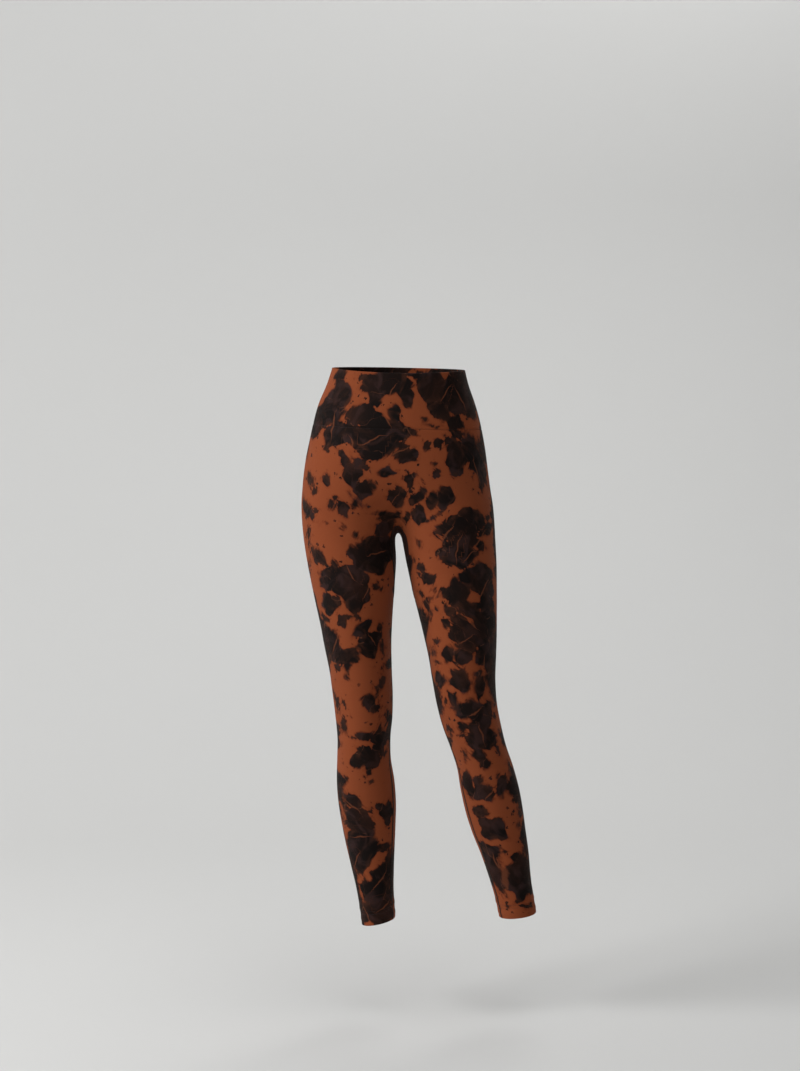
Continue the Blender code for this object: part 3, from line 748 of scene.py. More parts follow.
# %% Chart of the knees
RIGHT_KNEE_BLOTS = (
    (345, 656, 7, 12, 50), (356, 646, 6, 1.5, -15, 0.8), (354, 660, 3, 5.5, 20, 0.9),
    (348, 667, 3.5, 6, 0, 0.9), (338, 668, 2.5, 2.5, 0, 0.8), (347, 678, 2.2, 1.5, 30, 0.6),
    (382, 681, 2.5, 6, 10, 0.8), (377, 689, 2, 4, 0, 0.7), (378, 697, 1, 4, -15, 0.4),
    (368, 701, 6, 8, -10), (375, 708, 5, 4, 25, 0.9), (337, 703, 2, 9, -15, 0.6),
    (345, 704, 1.5, 5, -30, 0.4), (343, 725, 2.5, 7, -10, 0.6), (350, 738, 1.2, 1.5, 0, 0.6),
    (364, 736, 11, 5, 0, 0.9), (380, 730, 3, 4, 0, 0.7), (381, 741, 8, 9),
)
LEFT_KNEE_BLOTS = (
    (468, 645, 10, 6), (463, 656, 8, 7), (449, 655, 5.5, 7, 20, 0.95), (437, 662, 2.5, 1.5, 0, 0.5),
    (487, 655, 8, 18), (491, 677, 4, 12, 0, 0.9), (456, 663, 1.5, 1, 0, 0.6),
    (458, 667, 1, 1.5, 0, 0.6), (452, 672, 1.2, 2, 0, 0.6), (439, 680, 4, 6, 0, 0.9), (460, 681, 9, 11),
    (455, 682, 3, 6, 0, 0.6), (480, 687, 4.5, 13), (477, 676, 3, 2, 0, 0.9), (453, 701, 4, 10, -25),
    (470, 710, 17, 7), (480, 725, 10, 16), (464, 728, 6, 4.5, 0, 0.95), (487, 709, 4, 8),
    (469, 701, 4, 2, -20, 0.6), (493, 704, 1.5, 2, 0, 0.5), (494, 714, 1, 2, 0, 0.5),
    (450, 730, 2, 6, -10, 0.5), (443, 702, 1, 3, 0, 0.35), (484, 739, 15, 10),
    (463, 736, 4, 2, 0, 0.45),
)
print("knees:", len(RIGHT_KNEE_BLOTS) + len(LEFT_KNEE_BLOTS), "patches")

# %% Chart of the calves
RIGHT_CALF_BLOTS = (
    (358, 761, 8, 6, 0, 0.9), (360, 751, 3.5, 4, 0, 0.7), (370, 758, 10, 10), (368, 772, 3, 4, 0, 0.9),
    (382, 753, 4, 4, 0, 0.5), (345, 778, 1.5, 1.5, 0, 0.6), (370, 782, 2, 2, 0, 0.7),
    (352, 801, 6, 11, -45, 0.95), (341, 797, 3, 10, -10, 0.9), (346, 808, 2, 6, -50, 0.9),
    (358, 820, 13, 13), (369, 811, 4, 3, 0, 0.9), (379, 806, 4, 2.5, 25, 0.8),
    (388, 812, 4, 12, 0, 0.9), (357, 828, 13, 7, 0, 0.95), (359, 851, 13, 21), (370, 835, 4, 4),
    (384, 847, 7, 4, 0, 0.9), (389, 862, 3, 10, 0, 0.8), (383, 873, 8, 10), (385, 878, 6, 8),
    (374, 892, 11, 14), (388, 893, 4, 14), (366, 880, 2, 5, 0, 0.6), (362, 902, 3, 2, 0, 0.5),
    (378, 913, 17, 12),
)
LEFT_CALF_BLOTS = (
    (480, 757, 6, 9), (485, 764, 3, 5, 0, 0.9), (466, 756, 2.5, 5, 0, 0.45),
    (498, 750, 1.3, 6, -30, 0.8), (502, 738, 2, 5, -20, 0.8), (510, 768, 1.2, 7, 0, 0.7),
    (513, 772, 3, 8, -25, 0.9), (468, 785, 5, 13, -10), (483, 793, 10, 8, 0, 0.95),
    (480, 782, 4, 6, 0, 0.6), (491, 792, 3, 5, 0, 0.9), (502, 785, 5.5, 12),
    (515, 787, 5, 12, -20, 0.9), (516, 799, 3, 3, 0, 0.6), (480, 812, 6, 7.5), (492, 829, 14, 10, 30),
    (520, 812, 2, 5, 0, 0.7), (520, 824, 2, 3, 0, 0.8), (491, 851, 7, 9), (492, 866, 6.5, 24, -22),
    (520, 877, 14, 21), (517, 857, 4, 4, 0, 0.9), (504, 853, 3, 2, 0, 0.5), (527, 848, 2.5, 10, 0, 0.8),
    (526, 907, 3, 1.8, 0, 0.8), (507, 907, 1.5, 1.5, 0, 0.35), (518, 901, 3, 1.5, 0, 0.6),
    (531, 905, 1.5, 2, 0, 0.6),
)
print("calves:", len(RIGHT_CALF_BLOTS) + len(LEFT_CALF_BLOTS), "patches")

# %% Bare streaks, and the whole chart
FRONT_BLOTS = (
    *WAIST_BLOTS, *RIGHT_HIP_BLOTS, *LEFT_HIP_BLOTS, *RIGHT_THIGH_BLOTS, *LEFT_THIGH_BLOTS,
    *RIGHT_KNEE_BLOTS, *LEFT_KNEE_BLOTS, *RIGHT_CALF_BLOTS, *LEFT_CALF_BLOTS,
)
FRONT_STREAKS = (
    (333, 424, 0.7, 13, 8), (347, 407, 0.6, 8, 62), (386, 421, 0.6, 9, -32), (399, 452, 0.7, 11, 62),
    (371, 441, 0.6, 13, 72), (352, 444, 0.5, 8, -20), (392, 391, 0.7, 8, 35), (460, 398, 0.8, 13, -32),
    (470, 424, 0.6, 11, -25), (446, 393, 0.6, 9, 25), (476, 470, 0.6, 14, -20), (362, 476, 0.6, 7, 40),
    (394, 500, 0.5, 8, 20), (444, 537, 1.1, 13, 42), (458, 549, 0.7, 12, 15), (479, 541, 0.8, 12, 34),
    (469, 556, 0.6, 9, 52), (350, 573, 0.6, 10, -35), (367, 590, 0.5, 9, 20), (378, 553, 0.6, 9, 70),
    (484, 590, 0.7, 11, 30), (472, 622, 1.0, 10, -40), (466, 640, 0.6, 8, 60), (334, 645, 0.5, 9, 15),
    (372, 640, 0.5, 7, -40), (484, 664, 0.6, 9, 10), (474, 712, 0.7, 9, 60), (482, 733, 0.6, 10, -20),
    (352, 806, 0.8, 10, -58), (360, 838, 0.6, 9, 80), (356, 860, 0.5, 9, 15), (380, 880, 0.8, 12, 28),
    (383, 907, 0.6, 9, 48), (366, 914, 0.5, 8, -25), (488, 795, 0.6, 7, 40), (496, 862, 0.7, 11, -30),
    (505, 876, 3.0, 19, -6),
)
print("on the chart:", len(FRONT_BLOTS), "patches and", len(FRONT_STREAKS), "bare streaks")

# %% [markdown]
# ## From the chart to the cloth
#
# A chart is flat and the garment is round. An even net of dots over the cloth is looked at through the
# camera, and each patch is laid at the dot that is seen in its square. The back and the outer sides,
# which the chart can't show, get the same patches turned round and slipped down the leg, so every side
# has the same hand without being a copy. A few more are placed by their measures on the cloth.

# %% A net over the cloth
VIEW_FORWARD = np.array([0, math.cos(CAMERA_PITCH), -math.sin(CAMERA_PITCH)])
VIEW_UP = np.array([0, math.sin(CAMERA_PITCH), math.cos(CAMERA_PITCH)])
VIEW_RIGHT = np.array([1.0, 0, 0])
VIEW_FOCUS = LENS / SENSOR_HEIGHT * VIEW_HEIGHT  # squares of the view for each unit of slope
NET_COLUMNS, NET_STEP = 97, 0.004
NET_U = np.linspace(0, 1, NET_COLUMNS)
NET_DROP = np.arange(0, LEG_DROP, NET_STEP)[:, None]
net_rows = len(NET_DROP)
half_net = net_rows * NET_COLUMNS  # dots of the right half of the garment; as many follow for the left


def on_chart(points):
    """Where points are seen from the camera, in squares right and down."""
    offset = points - np.array(CAMERA_PLACE)
    depth = offset @ VIEW_FORWARD
    right = VIEW_WIDTH / 2 + VIEW_FOCUS * (offset @ VIEW_RIGHT) / depth
    down = VIEW_HEIGHT / 2 - VIEW_FOCUS * (offset @ VIEW_UP) / depth
    return np.stack([right, down], -1), depth


net_points = np.concatenate([cloth(side, NET_U, NET_DROP).reshape(-1, 3) for side in LEGS])
net_u = np.tile(NET_U, 2 * net_rows)
net_drop = np.tile(np.repeat(NET_DROP, NET_COLUMNS), 2)
net_outs = way_out(net_points)
net_seen, net_depths = on_chart(net_points)
net_facing = (net_outs * (np.array(CAMERA_PLACE) - net_points)).sum(-1) / net_depths
print("net:", len(net_points), "dots, of which", (net_facing > 0).sum(), "face the camera")

# %% Laying the front
Mark = namedtuple("Mark", "middle out reach lean dark dot")  # dot is a number in the net, or None
EDGE_ON = 0.12  # cloth that faces the camera less than this is seen too much from its edge
UNSEEN = 1e6


def lay_front(row):
    """A patch or streak of the chart, laid on the cloth."""
    blot = Blot(*row)
    place = (blot.right, blot.down)
    miss = ((net_seen - place) ** 2).sum(-1) + np.where(net_facing < EDGE_ON, UNSEEN, 0)
    dot = int(miss.argmin())
    square = net_depths[dot] / VIEW_FOCUS
    shift = place - net_seen[dot]
    middle = net_points[dot] + (VIEW_RIGHT * shift[0] - VIEW_UP * shift[1]) * square
    reach = (blot.half_width * square, blot.half_height * square)
    return Mark(middle, net_outs[dot], reach, blot.lean, blot.dark, dot)


front_blots = [lay_front(row) for row in FRONT_BLOTS]
front_streaks = [lay_front(row) for row in FRONT_STREAKS]
print("one square is about", round(net_depths[front_blots[0].dot] / VIEW_FOCUS * 1000, 2), "mm of cloth")

# %% Laying the back and the sides
BACK_SLIP, SIDE_SLIP = 0.37, 0.61  # how far the front's marks are slipped down
QUARTER = 0.25  # from the front of a leg to its outer side
SIDEWAYS = 0.75  # cloth that turns away from the camera by less than this is at the side


def lay_again(mark, half, u, slip):
    """The same mark on the right (0) or left (1) half, at u round and slipped down the leg."""
    row = int((net_drop[mark.dot] + slip) % LEG_DROP / LEG_DROP * net_rows)
    column = min(round(u * (NET_COLUMNS - 1)), NET_COLUMNS - 1)
    dot = half * half_net + row * NET_COLUMNS + column
    return Mark(net_points[dot], net_outs[dot], mark.reach, -mark.lean, mark.dark, dot)


def lay_back(marks):
    """The same marks on the back of the other leg."""
    return [
        lay_again(mark, 1 - mark.dot // half_net, 1 - net_u[mark.dot], BACK_SLIP)
        for mark in marks
    ]


def lay_sides(marks):
    """The same marks a quarter turn round each leg, where they can't be seen from the front."""
    sides = [
        lay_again(mark, mark.dot // half_net, net_u[mark.dot] + QUARTER, SIDE_SLIP)
        for mark in marks
    ]
    return [mark for mark in sides if -SIDEWAYS < net_facing[mark.dot] < 0]


def lay_extra(side, u, drop, half_width, half_height, lean, dark):
    """A patch placed by its measures on the cloth."""
    middle = cloth(side, [u], [drop])
    return Mark(middle[0], way_out(middle)[0], (half_width, half_height), lean, dark, None)


extra_blots = (
    lay_extra("right", 0.90, 0.006, 0.034, 0.013, 8, 1),
    lay_extra("left", 0.99, 0.004, 0.022, 0.010, 0, 1),
    lay_extra("left", 0.74, 0.008, 0.030, 0.014, -12, 1),
    lay_extra("left", 0.61, 0.006, 0.026, 0.016, 20, 1),
    lay_extra("right", 0.972, 0.640, 0.007, 0.038, 2, 0.85),
    lay_extra("right", 0.966, 0.905, 0.007, 0.046, 2, 0.95),
    lay_extra("left", 0.968, 0.900, 0.006, 0.048, -3, 0.90),
)
all_blots = [*front_blots, *lay_back(front_blots), *extra_blots, *lay_sides(front_blots)]
all_streaks = [*front_streaks, *lay_back(front_streaks), *lay_sides(front_streaks)]
print("on the cloth:", len(all_blots), "patches and", len(all_streaks), "streaks")

# %% [markdown]
# ## How far each point is from the dye
#
# A patch isn't a neat oval: dye creeps into corners, waves and points. Each patch gets its own outline
# from seeded chance, so the garment comes out the same every time. The distance inside the nearest
# patch is then worked out for each dot of the cloth, and the material frays its edge later. Keeping a
# distance, and not just dark or bare, lets the edge be finer than the cells of the cloth.

# %% Tearing
TEAR = ((0.030, 0.0050), (0.013, 0.0032))  # size and reach of the noise that tears the patches' edges
TEAR_SEED = 1  # without a seed of its own this noise starts from the clock
LEAST_FACING = 0.35  # cloth that turns away more than this isn't stretched any further

noise.seed_set(TEAR_SEED)


def torn(points):
    """The points moved about by noise, which tears the edges of what is drawn at them."""
    moved = points.copy()
    for size, reach in TEAR:
        moved += reach * np.array([noise.noise_vector(Vector(point) / size) for point in points])
    return moved


def turned_offset(moved, middle, out, turn):
    """How far moved points lie beside and along a mark that is laid at middle and turned."""
    offset = moved - middle
    across, down = tangents(out)
    right, low = offset @ across * max(math.sqrt(1 - out[0] ** 2), LEAST_FACING), offset @ down
    return right * math.cos(turn) + low * math.sin(turn), low * math.cos(turn) - right * math.sin(turn)


# %% Outlines of the patches
BLOT_SEED = 11
SPREAD, GROWTH = 0.0008, 1.10  # how far the dye crept beyond each patch
LEAST_CORNERED, MOST_CORNERED = 2.1, 1.3  # an oval has the power 2, a diamond 1
ROUNDISH, TWIST = 1.35, 45  # a patch rounder than this is turned by up to so many degrees
LOBES = {2: 0.08, 3: 0.13, 4: 0.10, 5: 0.09, 7: 0.06}  # waves round an outline and how high they can be
LATEST_START = 6  # where a wave can start, in radians
POINTED, MOST_FADED = 0.42, 0.75  # how many ends are pointed, and how far dye thins towards an end

Outline = namedtuple("Outline", "power halves turn lobes pointed fade")


def corner_growth(power):
    """How much larger a cornered patch is drawn, to cover as much cloth as an oval one."""
    share = math.gamma(1 + 1 / power) ** 2 / math.gamma(1 + 2 / power)
    return math.sqrt(math.pi / 4 / share)


def outline(mark, luck):
    """One patch's outline, and how its dye thins towards one end."""
    power = luck.uniform(MOST_CORNERED, LEAST_CORNERED)
    growth = GROWTH * corner_growth(power)
    twist = luck.uniform(-TWIST, TWIST) if max(mark.reach) < ROUNDISH * min(mark.reach) else 0
    lobes = [
        (waves, luck.uniform(-high, high), luck.uniform(0, LATEST_START))
        for waves, high in LOBES.items()
    ]
    return Outline(
        power=power,
        halves=[half * growth + SPREAD for half in mark.reach],
        turn=math.radians(mark.lean + twist),
        lobes=lobes,
        pointed=(luck.random() < POINTED, luck.random() < POINTED),
        fade=luck.choice((-1, 1)) * luck.uniform(0, MOST_FADED),
    )


blot_luck = random.Random(BLOT_SEED)
outlines = [outline(mark, blot_luck) for mark in all_blots]
print("outlines:", len(outlines), "of which pointed:", sum(any(shape.pointed) for shape in outlines))

# %% Where the dye is
FAR_FROM_DYE = -0.060
THROUGH = 0.045  # how far a patch reaches into the form, so it wraps round a leg but not through it
TURNED_AWAY, AWAY_LOSS = 0.1, 0.02  # cloth that faces another way than a patch takes less of its dye
FADE_POWER = 1.5


def blot_ring(shape, level, steep):
    """How far out of a patch each place is, 1 on its outline, and how far along it."""
    half_width, half_height = shape.halves
    level, steep = level / half_width, steep / half_height
    along, beside = (steep, level) if half_height > half_width else (level, steep)
    oval = (np.abs(along) ** shape.power + np.abs(beside) ** shape.power) ** (1 / shape.power)
    leaf = (np.abs(beside) + np.sqrt(beside**2 + 4 * along**2)) / 2
    ring = np.where(np.where(along < 0, *shape.pointed), leaf, oval)
    bearing = np.arctan2(beside, along)
    waves = sum(high * np.cos(count * bearing + start) for count, high, start in shape.lobes)
    return ring / (1 + waves), along


def dye_marks(points, outs):
    """For each point: metres inside the nearest patch, its lead over the next patch, and its darkness."""
    first = np.full(len(points), FAR_FROM_DYE)
    second, dark_here, sign = first.copy(), np.ones(len(points)), np.ones(len(points))
    moved = torn(points)
    for number, (mark, shape) in enumerate(zip(all_blots, outlines)):
        reach = -FAR_FROM_DYE + 2 * max(shape.halves)
        near = np.flatnonzero(((points - mark.middle) ** 2).sum(-1) < reach**2)
        ring, along = blot_ring(shape, *turned_offset(moved[near], mark.middle, mark.out, shape.turn))
        ring = np.sqrt(ring**2 + ((moved[near] - mark.middle) @ mark.out / THROUGH) ** 2)
        inside = (1 - ring) * min(shape.halves)
        inside -= AWAY_LOSS * np.maximum(TURNED_AWAY - outs[near] @ mark.out, 0)
        towards_end = np.clip(0.5 + np.sign(shape.fade) * along / 2, 0, 1)
        faded = mark.dark * (1 - abs(shape.fade) * towards_end**FADE_POWER)
        leads = inside > first[near]
        second[near] = np.where(leads, first[near], np.maximum(second[near], inside))
        dark_here[near] = np.where(leads, faded, dark_here[near])
        sign[near] = np.where(leads, number % 2 * 2 - 1, sign[near])
        first[near] = np.maximum(first[near], inside)
    return np.stack([first, sign * (first - second), dark_here], -1)


# %% Where the bare streaks are
STREAK_TAPER = 4.0  # half widths that a streak has closed by at its ends
STREAK_NEAR = 1.6  # no streak reaches further than this many of its half lengths
NO_STREAK = 60.0


def beside_streaks(points):
    """How far each point lies beside the nearest bare streak: 1 or -1 at its edges."""
    nearest = np.full(len(points), NO_STREAK)
    moved = torn(points)
    for mark in all_streaks:
        half_width, half_length = mark.reach
        near = np.flatnonzero(((points - mark.middle) ** 2).sum(-1) < (STREAK_NEAR * half_length) ** 2)
        beside, along = turned_offset(moved[near], mark.middle, mark.out, math.radians(mark.lean))
        beside, along = beside / half_width, along / half_length
        beside += np.sign(beside) * STREAK_TAPER * along**4
        nearest[near] = np.where(np.abs(beside) < np.abs(nearest[near]), beside, nearest[near])
    return nearest


# %% [markdown]
# ## Fine cloth
#
# A panel is laid out in rows from its top to its bottom. Where the garment is wide a row has more dots
# than where it is narrow, so the cells stay about 4 mm across, fine enough for the dye's edge. Rows of
# one count are joined by four-sided faces, and two rows of different counts by a zip of triangles.
# Where two sheets are sewn together, dots in one place become one dot, and a face that closes up on the
# way is left out.

# %% Rows of the body
SEAM_STEPS = np.array([0, 0.0003, 0.0008, 0.0016, 0.0024, 0.0032])  # lines of dots this far from a seam
ROW_STEP = 0.0037
BACK_TIP_ZONE, FRONT_TIP_ZONE = 0.016, 0.012  # below each tip of the gusset the rows crowd
TIP_ROWS, ARCH_ROWS = 6, 5


def even(start, finish, step):
    """Even places from start to finish, without the finish."""
    return np.linspace(start, finish, max(2, round((finish - start) / step) + 1))[:-1]


def crowded(start, finish, count):
    """Places that crowd near the start, without the finish."""
    return start + (finish - start) * (np.arange(count) / count) ** 2


def body_rows():
    """The body's rows, close together beside the seams and below the tips of the gusset."""
    return np.concatenate(
        [
            WAISTBAND_DROP + SEAM_STEPS[:-1],
            even(WAISTBAND_DROP + SEAM_STEPS[-1], BACK_TIP, ROW_STEP),
            crowded(BACK_TIP, BACK_TIP + BACK_TIP_ZONE, TIP_ROWS),
            even(BACK_TIP + BACK_TIP_ZONE, FRONT_TIP, ROW_STEP),
            crowded(FRONT_TIP, FRONT_TIP + FRONT_TIP_ZONE, TIP_ROWS),
            even(FRONT_TIP + FRONT_TIP_ZONE, CROTCH_DROP, ROW_STEP),
            crowded(CROTCH_DROP, CROTCH_DROP + ARCH_DROP, ARCH_ROWS),
            even(CROTCH_DROP + ARCH_DROP, GUSSET_END, ROW_STEP),
            even(GUSSET_END, LEG_END - SEAM_STEPS[-1], ROW_STEP),
            LEG_END - SEAM_STEPS[::-1],
        ]
    )


body_drops = body_rows()
print("body:", len(body_drops), "rows from the waist seam to the hem")

# %% Columns of a row
ZONES = ((0.39, 112), (0.64, 86), (1.0, 64))  # down to this drop, so many columns
PROBE = 0.004  # a short way round, to measure how long one share of a row is


def seam_columns(side, drops, start, finish, counts):
    """Even places round each row, with lines of dots close beside the seams at both ends."""
    ends = cloth(side, np.stack([start, start + PROBE, finish - PROBE, finish], -1), drops[:, None])
    near_start = np.linalg.norm(ends[:, 1] - ends[:, 0], axis=-1) / PROBE
    near_finish = np.linalg.norm(ends[:, 3] - ends[:, 2], axis=-1) / PROBE
    rows = []
    for row, count in enumerate(counts):
        first = start[row] + SEAM_STEPS / near_start[row]
        last = finish[row] - SEAM_STEPS[::-1] / near_finish[row]
        inner = count - 2 * len(SEAM_STEPS) + 3
        rows.append(np.concatenate([first[:-1], np.linspace(first[-1], last[0], inner), last[1:]]))
    return rows


# %% Laying out a sheet
SAME_PLACE = 0.00003  # dots nearer than this are one


class Sheet:
    """One face of a panel: its points, what is known at each, and the faces between them."""

    def __init__(self):
        self.points, self.measures, self.faces, self.joined = [], [], [], []
        self.count = 0

    def add_rows(self, side, rows, drops, joined=lambda u, drop: False):
        """Add rows of places round, from the top down, and join each to the one before."""
        every_u = np.concatenate(rows)
        every_drop = np.repeat(drops, [len(row) for row in rows])
        points = cloth(side, every_u, every_drop)
        knit = np.empty(len(points))
        before, first = None, 0
        for u in rows:
            here = slice(first, first + len(u))
            girth = np.linalg.norm(np.diff(points[here], axis=0), axis=1).sum()
            knit[here] = (u - 0.5) * girth / max(u[-1] - u[0], PROBE)
            numbers = self.count + np.arange(here.start, here.stop)
            if before is not None:
                self.zip_rows(side, *before, numbers, u)
            before, first = (numbers, u), here.stop
        self.points.append(points)
        self.measures.append(np.stack([knit, every_drop], -1))
        self.joined += [joined(u, drop) for u, drop in zip(every_u, every_drop)]
        self.count += len(points)

    def zip_rows(self, side, upper, upper_u, lower, lower_u):
        """Faces between two rows: four-sided for like counts, and else a zip of triangles."""
        if len(upper) == len(lower):
            made = zip(upper[:-1], lower[:-1], lower[1:], upper[1:])
        else:
            made = []
            high = low = 0
            while high < len(upper) - 1 or low < len(lower) - 1:
                next_high = upper_u[high + 1] if high < len(upper) - 1 else math.inf
                next_low = lower_u[low + 1] if low < len(lower) - 1 else math.inf
                if next_high < next_low:
                    made.append((upper[high], lower[low], upper[high + 1]))
                    high += 1
                else:
                    made.append((upper[high], lower[low], lower[low + 1]))
                    low += 1
        for face in made:
            face = tuple(int(dot) for dot in face)
            self.faces.append(face if side == "left" else face[::-1])


# %% Sewing and closing a sheet
def sewn(points, joined):
    """For each dot, the number of the first joined dot in the same place, or its own number."""
    numbers = np.arange(len(points))
    chosen = np.flatnonzero(joined)
    tree = kdtree.KDTree(len(chosen))
    for number in chosen:
        tree.insert(points[number], int(number))
    tree.balance()
    for number in chosen:
        numbers[number] = min(found[1] for found in tree.find_range(points[number], SAME_PLACE))
    return numbers


def clean_faces(faces, numbers):
    """The faces with renumbered dots, without repeats in a face and without faces that closed up."""
    kept = []
    for face in faces:
        ring = []
        for dot in face:
            number = int(numbers[dot])
            if number not in ring:
                ring.append(number)
        if len(ring) > 2:
            kept.append(tuple(ring))
    return kept


def open_edges(faces):
    """The edges that only one face has, each in that face's direction."""
    seen = {}
    for face in faces:
        for start, finish in zip(face, face[1:] + face[:1]):
            seen[(start, finish)] = True
    return [edge for edge in seen if edge[::-1] not in seen]


# %% [markdown]
# ## From a sheet to a wall
#
# A sheet gets its thickness here. The outer face is lifted by the relief, the inner face is the same
# dots moved straight in, and a rim closes the edge all round. At a folded edge both faces run into one
# row of dots, in a round turn. Each dot also carries what the materials need to know: where it is in
# the dye, how far it is from a bare streak, and where it is in the knit.

# %% Two faces and a rim
NO_FOLD = 1.0  # how far every dot of a sheet without a fold is from one


def wall_dots(points, outs, thickness, from_fold):
    """The outer face's dots, and then the inner face's."""
    turn = thickness / 2
    short = np.clip(1 - from_fold / turn, 0, 1)
    round_in = turn * (1 - np.sqrt(1 - short**2))
    outer = points + outs * (relief(points) - round_in)[:, None]
    inner = points - outs * (thickness - round_in)[:, None]
    return np.concatenate([outer, inner])


def wall_faces(faces, lining):
    """The faces of both sides and of the rim; lining is the inner dot behind each outer one."""
    inner = clean_faces([face[::-1] for face in faces], lining)
    rim = [(finish, start, lining[start], lining[finish]) for start, finish in open_edges(faces)]
    return faces + inner + clean_faces(rim, np.arange(2 * len(lining)))


def add_attribute(data, name, kind, values):
    """Give each dot of a mesh a number or a vector that its material can read."""
    field = "value" if kind == "FLOAT" else "vector"
    numbers = np.asarray(values, np.float32).ravel()
    data.attributes.new(name, kind, "POINT").data.foreach_set(field, numbers)


def link_mesh(name, data):
    """A mesh as a piece of the scene."""
    piece = bpy.data.objects.new(name, data)
    bpy.context.scene.collection.objects.link(piece)
    return piece


# %% Making a panel
def make_cloth(name, sheet, thickness, fold=None):
    """A cloth wall from a sheet. Where fold, the distance from a folded edge, is 0 the faces are one."""
    points, measures = np.concatenate(sheet.points), np.concatenate(sheet.measures)
    outs = way_out(points)
    from_fold = np.full(len(points), NO_FOLD) if fold is None else fold(measures[:, 1])
    numbers = sewn(points, np.array(sheet.joined))
    lining = np.where(from_fold < SAME_PLACE, numbers, numbers + len(points))
    faces = wall_faces(clean_faces(sheet.faces, numbers), lining)
    used = np.unique(np.concatenate([np.array(face) for face in faces]))
    renumber = np.zeros(2 * len(points), int)
    renumber[used] = np.arange(len(used))
    dots = wall_dots(points, outs, thickness, from_fold)[used]
    data = bpy.data.meshes.new(name)
    data.from_pydata(dots, [], [tuple(renumber[list(face)]) for face in faces])
    data.shade_smooth()

    knit = np.column_stack([measures, distance_to(flatlock_tree, points)])
    for field, kind, values in (
        ("dye", "FLOAT_VECTOR", dye_marks(points, outs)),
        ("streak", "FLOAT", beside_streaks(points)),
        ("knit", "FLOAT_VECTOR", knit),
    ):
        add_attribute(data, field, kind, np.concatenate([values, values])[used])
    print(f"{name}: {len(used)} dots, {sum(len(face) - 2 for face in faces)} triangles")
    return link_mesh(name, data)


# %% The body
def make_body():
    """One panel for both legs, whole across the front and open round the gusset."""
    start, finish = gusset_reach("front", body_drops), 1 - gusset_reach("back", body_drops)
    counts = [next(columns for until, columns in ZONES if drop <= until) for drop in body_drops]
    sheet = Sheet()
    for side in LEGS:
        rows = seam_columns(side, body_drops, start, finish, counts)
        sheet.add_rows(side, rows, body_drops, lambda u, drop: u == 0 and drop <= FRONT_TIP)
    return make_cloth("body_cloth", sheet, CLOTH)


body = make_body()

# %% [markdown]
# ## Gusset, waistband and hems
#
# The gusset is four small patches round the crotch point, sewn into one. The waistband is cloth folded
# double, so its top edge is a round turn and not a cut edge, and the hems are turned up in the same
# way. Each uses the body's own rows or columns where it meets the body, so no gap opens between them.

# %% The gusset
GUSSET_STRIPS = 14


def make_gusset():
    """Four patches that share the rows of the body: front and back, right and left."""
    sheet = Sheet()
    for name, tip in GUSSET_TIP.items():
        inside = (body_drops >= tip - SAME_PLACE) & (body_drops <= GUSSET_END + SAME_PLACE)
        reach = gusset_reach(name, body_drops[inside])
        share = np.linspace(0, 1, GUSSET_STRIPS + 1)
        for side in LEGS:
            rows = [far * share if name == "front" else 1 - far * share[::-1] for far in reach]
            sheet.add_rows(side, rows, body_drops[inside], lambda u, drop: True)
    return make_cloth("gusset_cloth", sheet, CLOTH)


gusset = make_gusset()

# %% The waistband
BAND_ROW_STEP = 0.0031
BAND_COLUMNS = 132
FOLD_STEPS = np.array([0, 0.00015, 0.0004, 0.0008, 0.0014, 0.0022])  # rows this far from a folded edge


def make_waistband():
    """A band with a folded top edge and a seam below."""
    middle = even(FOLD_STEPS[-1], WAISTBAND_DROP - SEAM_STEPS[-1], BAND_ROW_STEP)
    drops = np.concatenate([FOLD_STEPS[:-1], middle, WAISTBAND_DROP - SEAM_STEPS[::-1]])
    sheet = Sheet()
    for side in LEGS:
        rows = seam_columns(side, drops, 0 * drops, 0 * drops + 1, [BAND_COLUMNS] * len(drops))
        sheet.add_rows(side, rows, drops, lambda u, drop: u == 0)
    return make_cloth("waistband_cloth", sheet, DOUBLED, lambda drop: drop)


waistband = make_waistband()

# %% The hems
HEM_COLUMNS = 76
HEM_ROW_STEP = 0.0026
NEEDLE_LINES = np.array([-0.0012, 0, 0.0012, 0.0024])  # lines of dots beside the hem's lower stitches
BELOW_NEEDLES = 0.002


def make_hem(side):
    """The turned-up end of one leg, folded at its lower edge."""
    upper = LEG_END + np.concatenate([SEAM_STEPS, HEM_NEEDLES + NEEDLE_LINES])
    middle = even(upper[-1] + BELOW_NEEDLES, LEG_DROP - FOLD_STEPS[-1], HEM_ROW_STEP)
    drops = np.concatenate([upper, middle, LEG_DROP - FOLD_STEPS[::-1]])
    sheet = Sheet()
    rows = seam_columns(side, drops, 0 * drops, 0 * drops + 1, [HEM_COLUMNS] * len(drops))
    sheet.add_rows(side, rows, drops)
    return make_cloth(f"hem_{side}_cloth", sheet, DOUBLED, lambda drop: LEG_DROP - drop)


hems = {side: make_hem(side) for side in LEGS}

# %% [markdown]
# ## Stitches
#
# A flatlock joins two cut edges that lie side by side: two rows of straight stitches, and over them a
# cover thread that runs to and fro between the rows. The waist seam and the hems are held by plain
# rows. A stitch is a short capsule of thread whose ends dip into the cloth, so that each one casts its
# own small shadow.

# %% Laying stitches
STITCH_PITCH, STITCH_GAP = 0.0027, 0.0004  # from one stitch to the next, and the bare cloth between
THREAD_RADIUS = 0.00025
FLATLOCK_NEEDLES = 0.0020  # from the middle of a flatlock to each of its rows
WAIST_NEEDLES = 0.0012  # from the waist seam up to its row
END_CLEARANCE = 0.0012  # bare seam before a folded edge


def on_cloth(points):
    """Points near the cloth, moved onto its outer face."""
    points = points - way_out(points) * form_distance(points)[:, None]
    return points + way_out(points) * relief(points)[:, None]


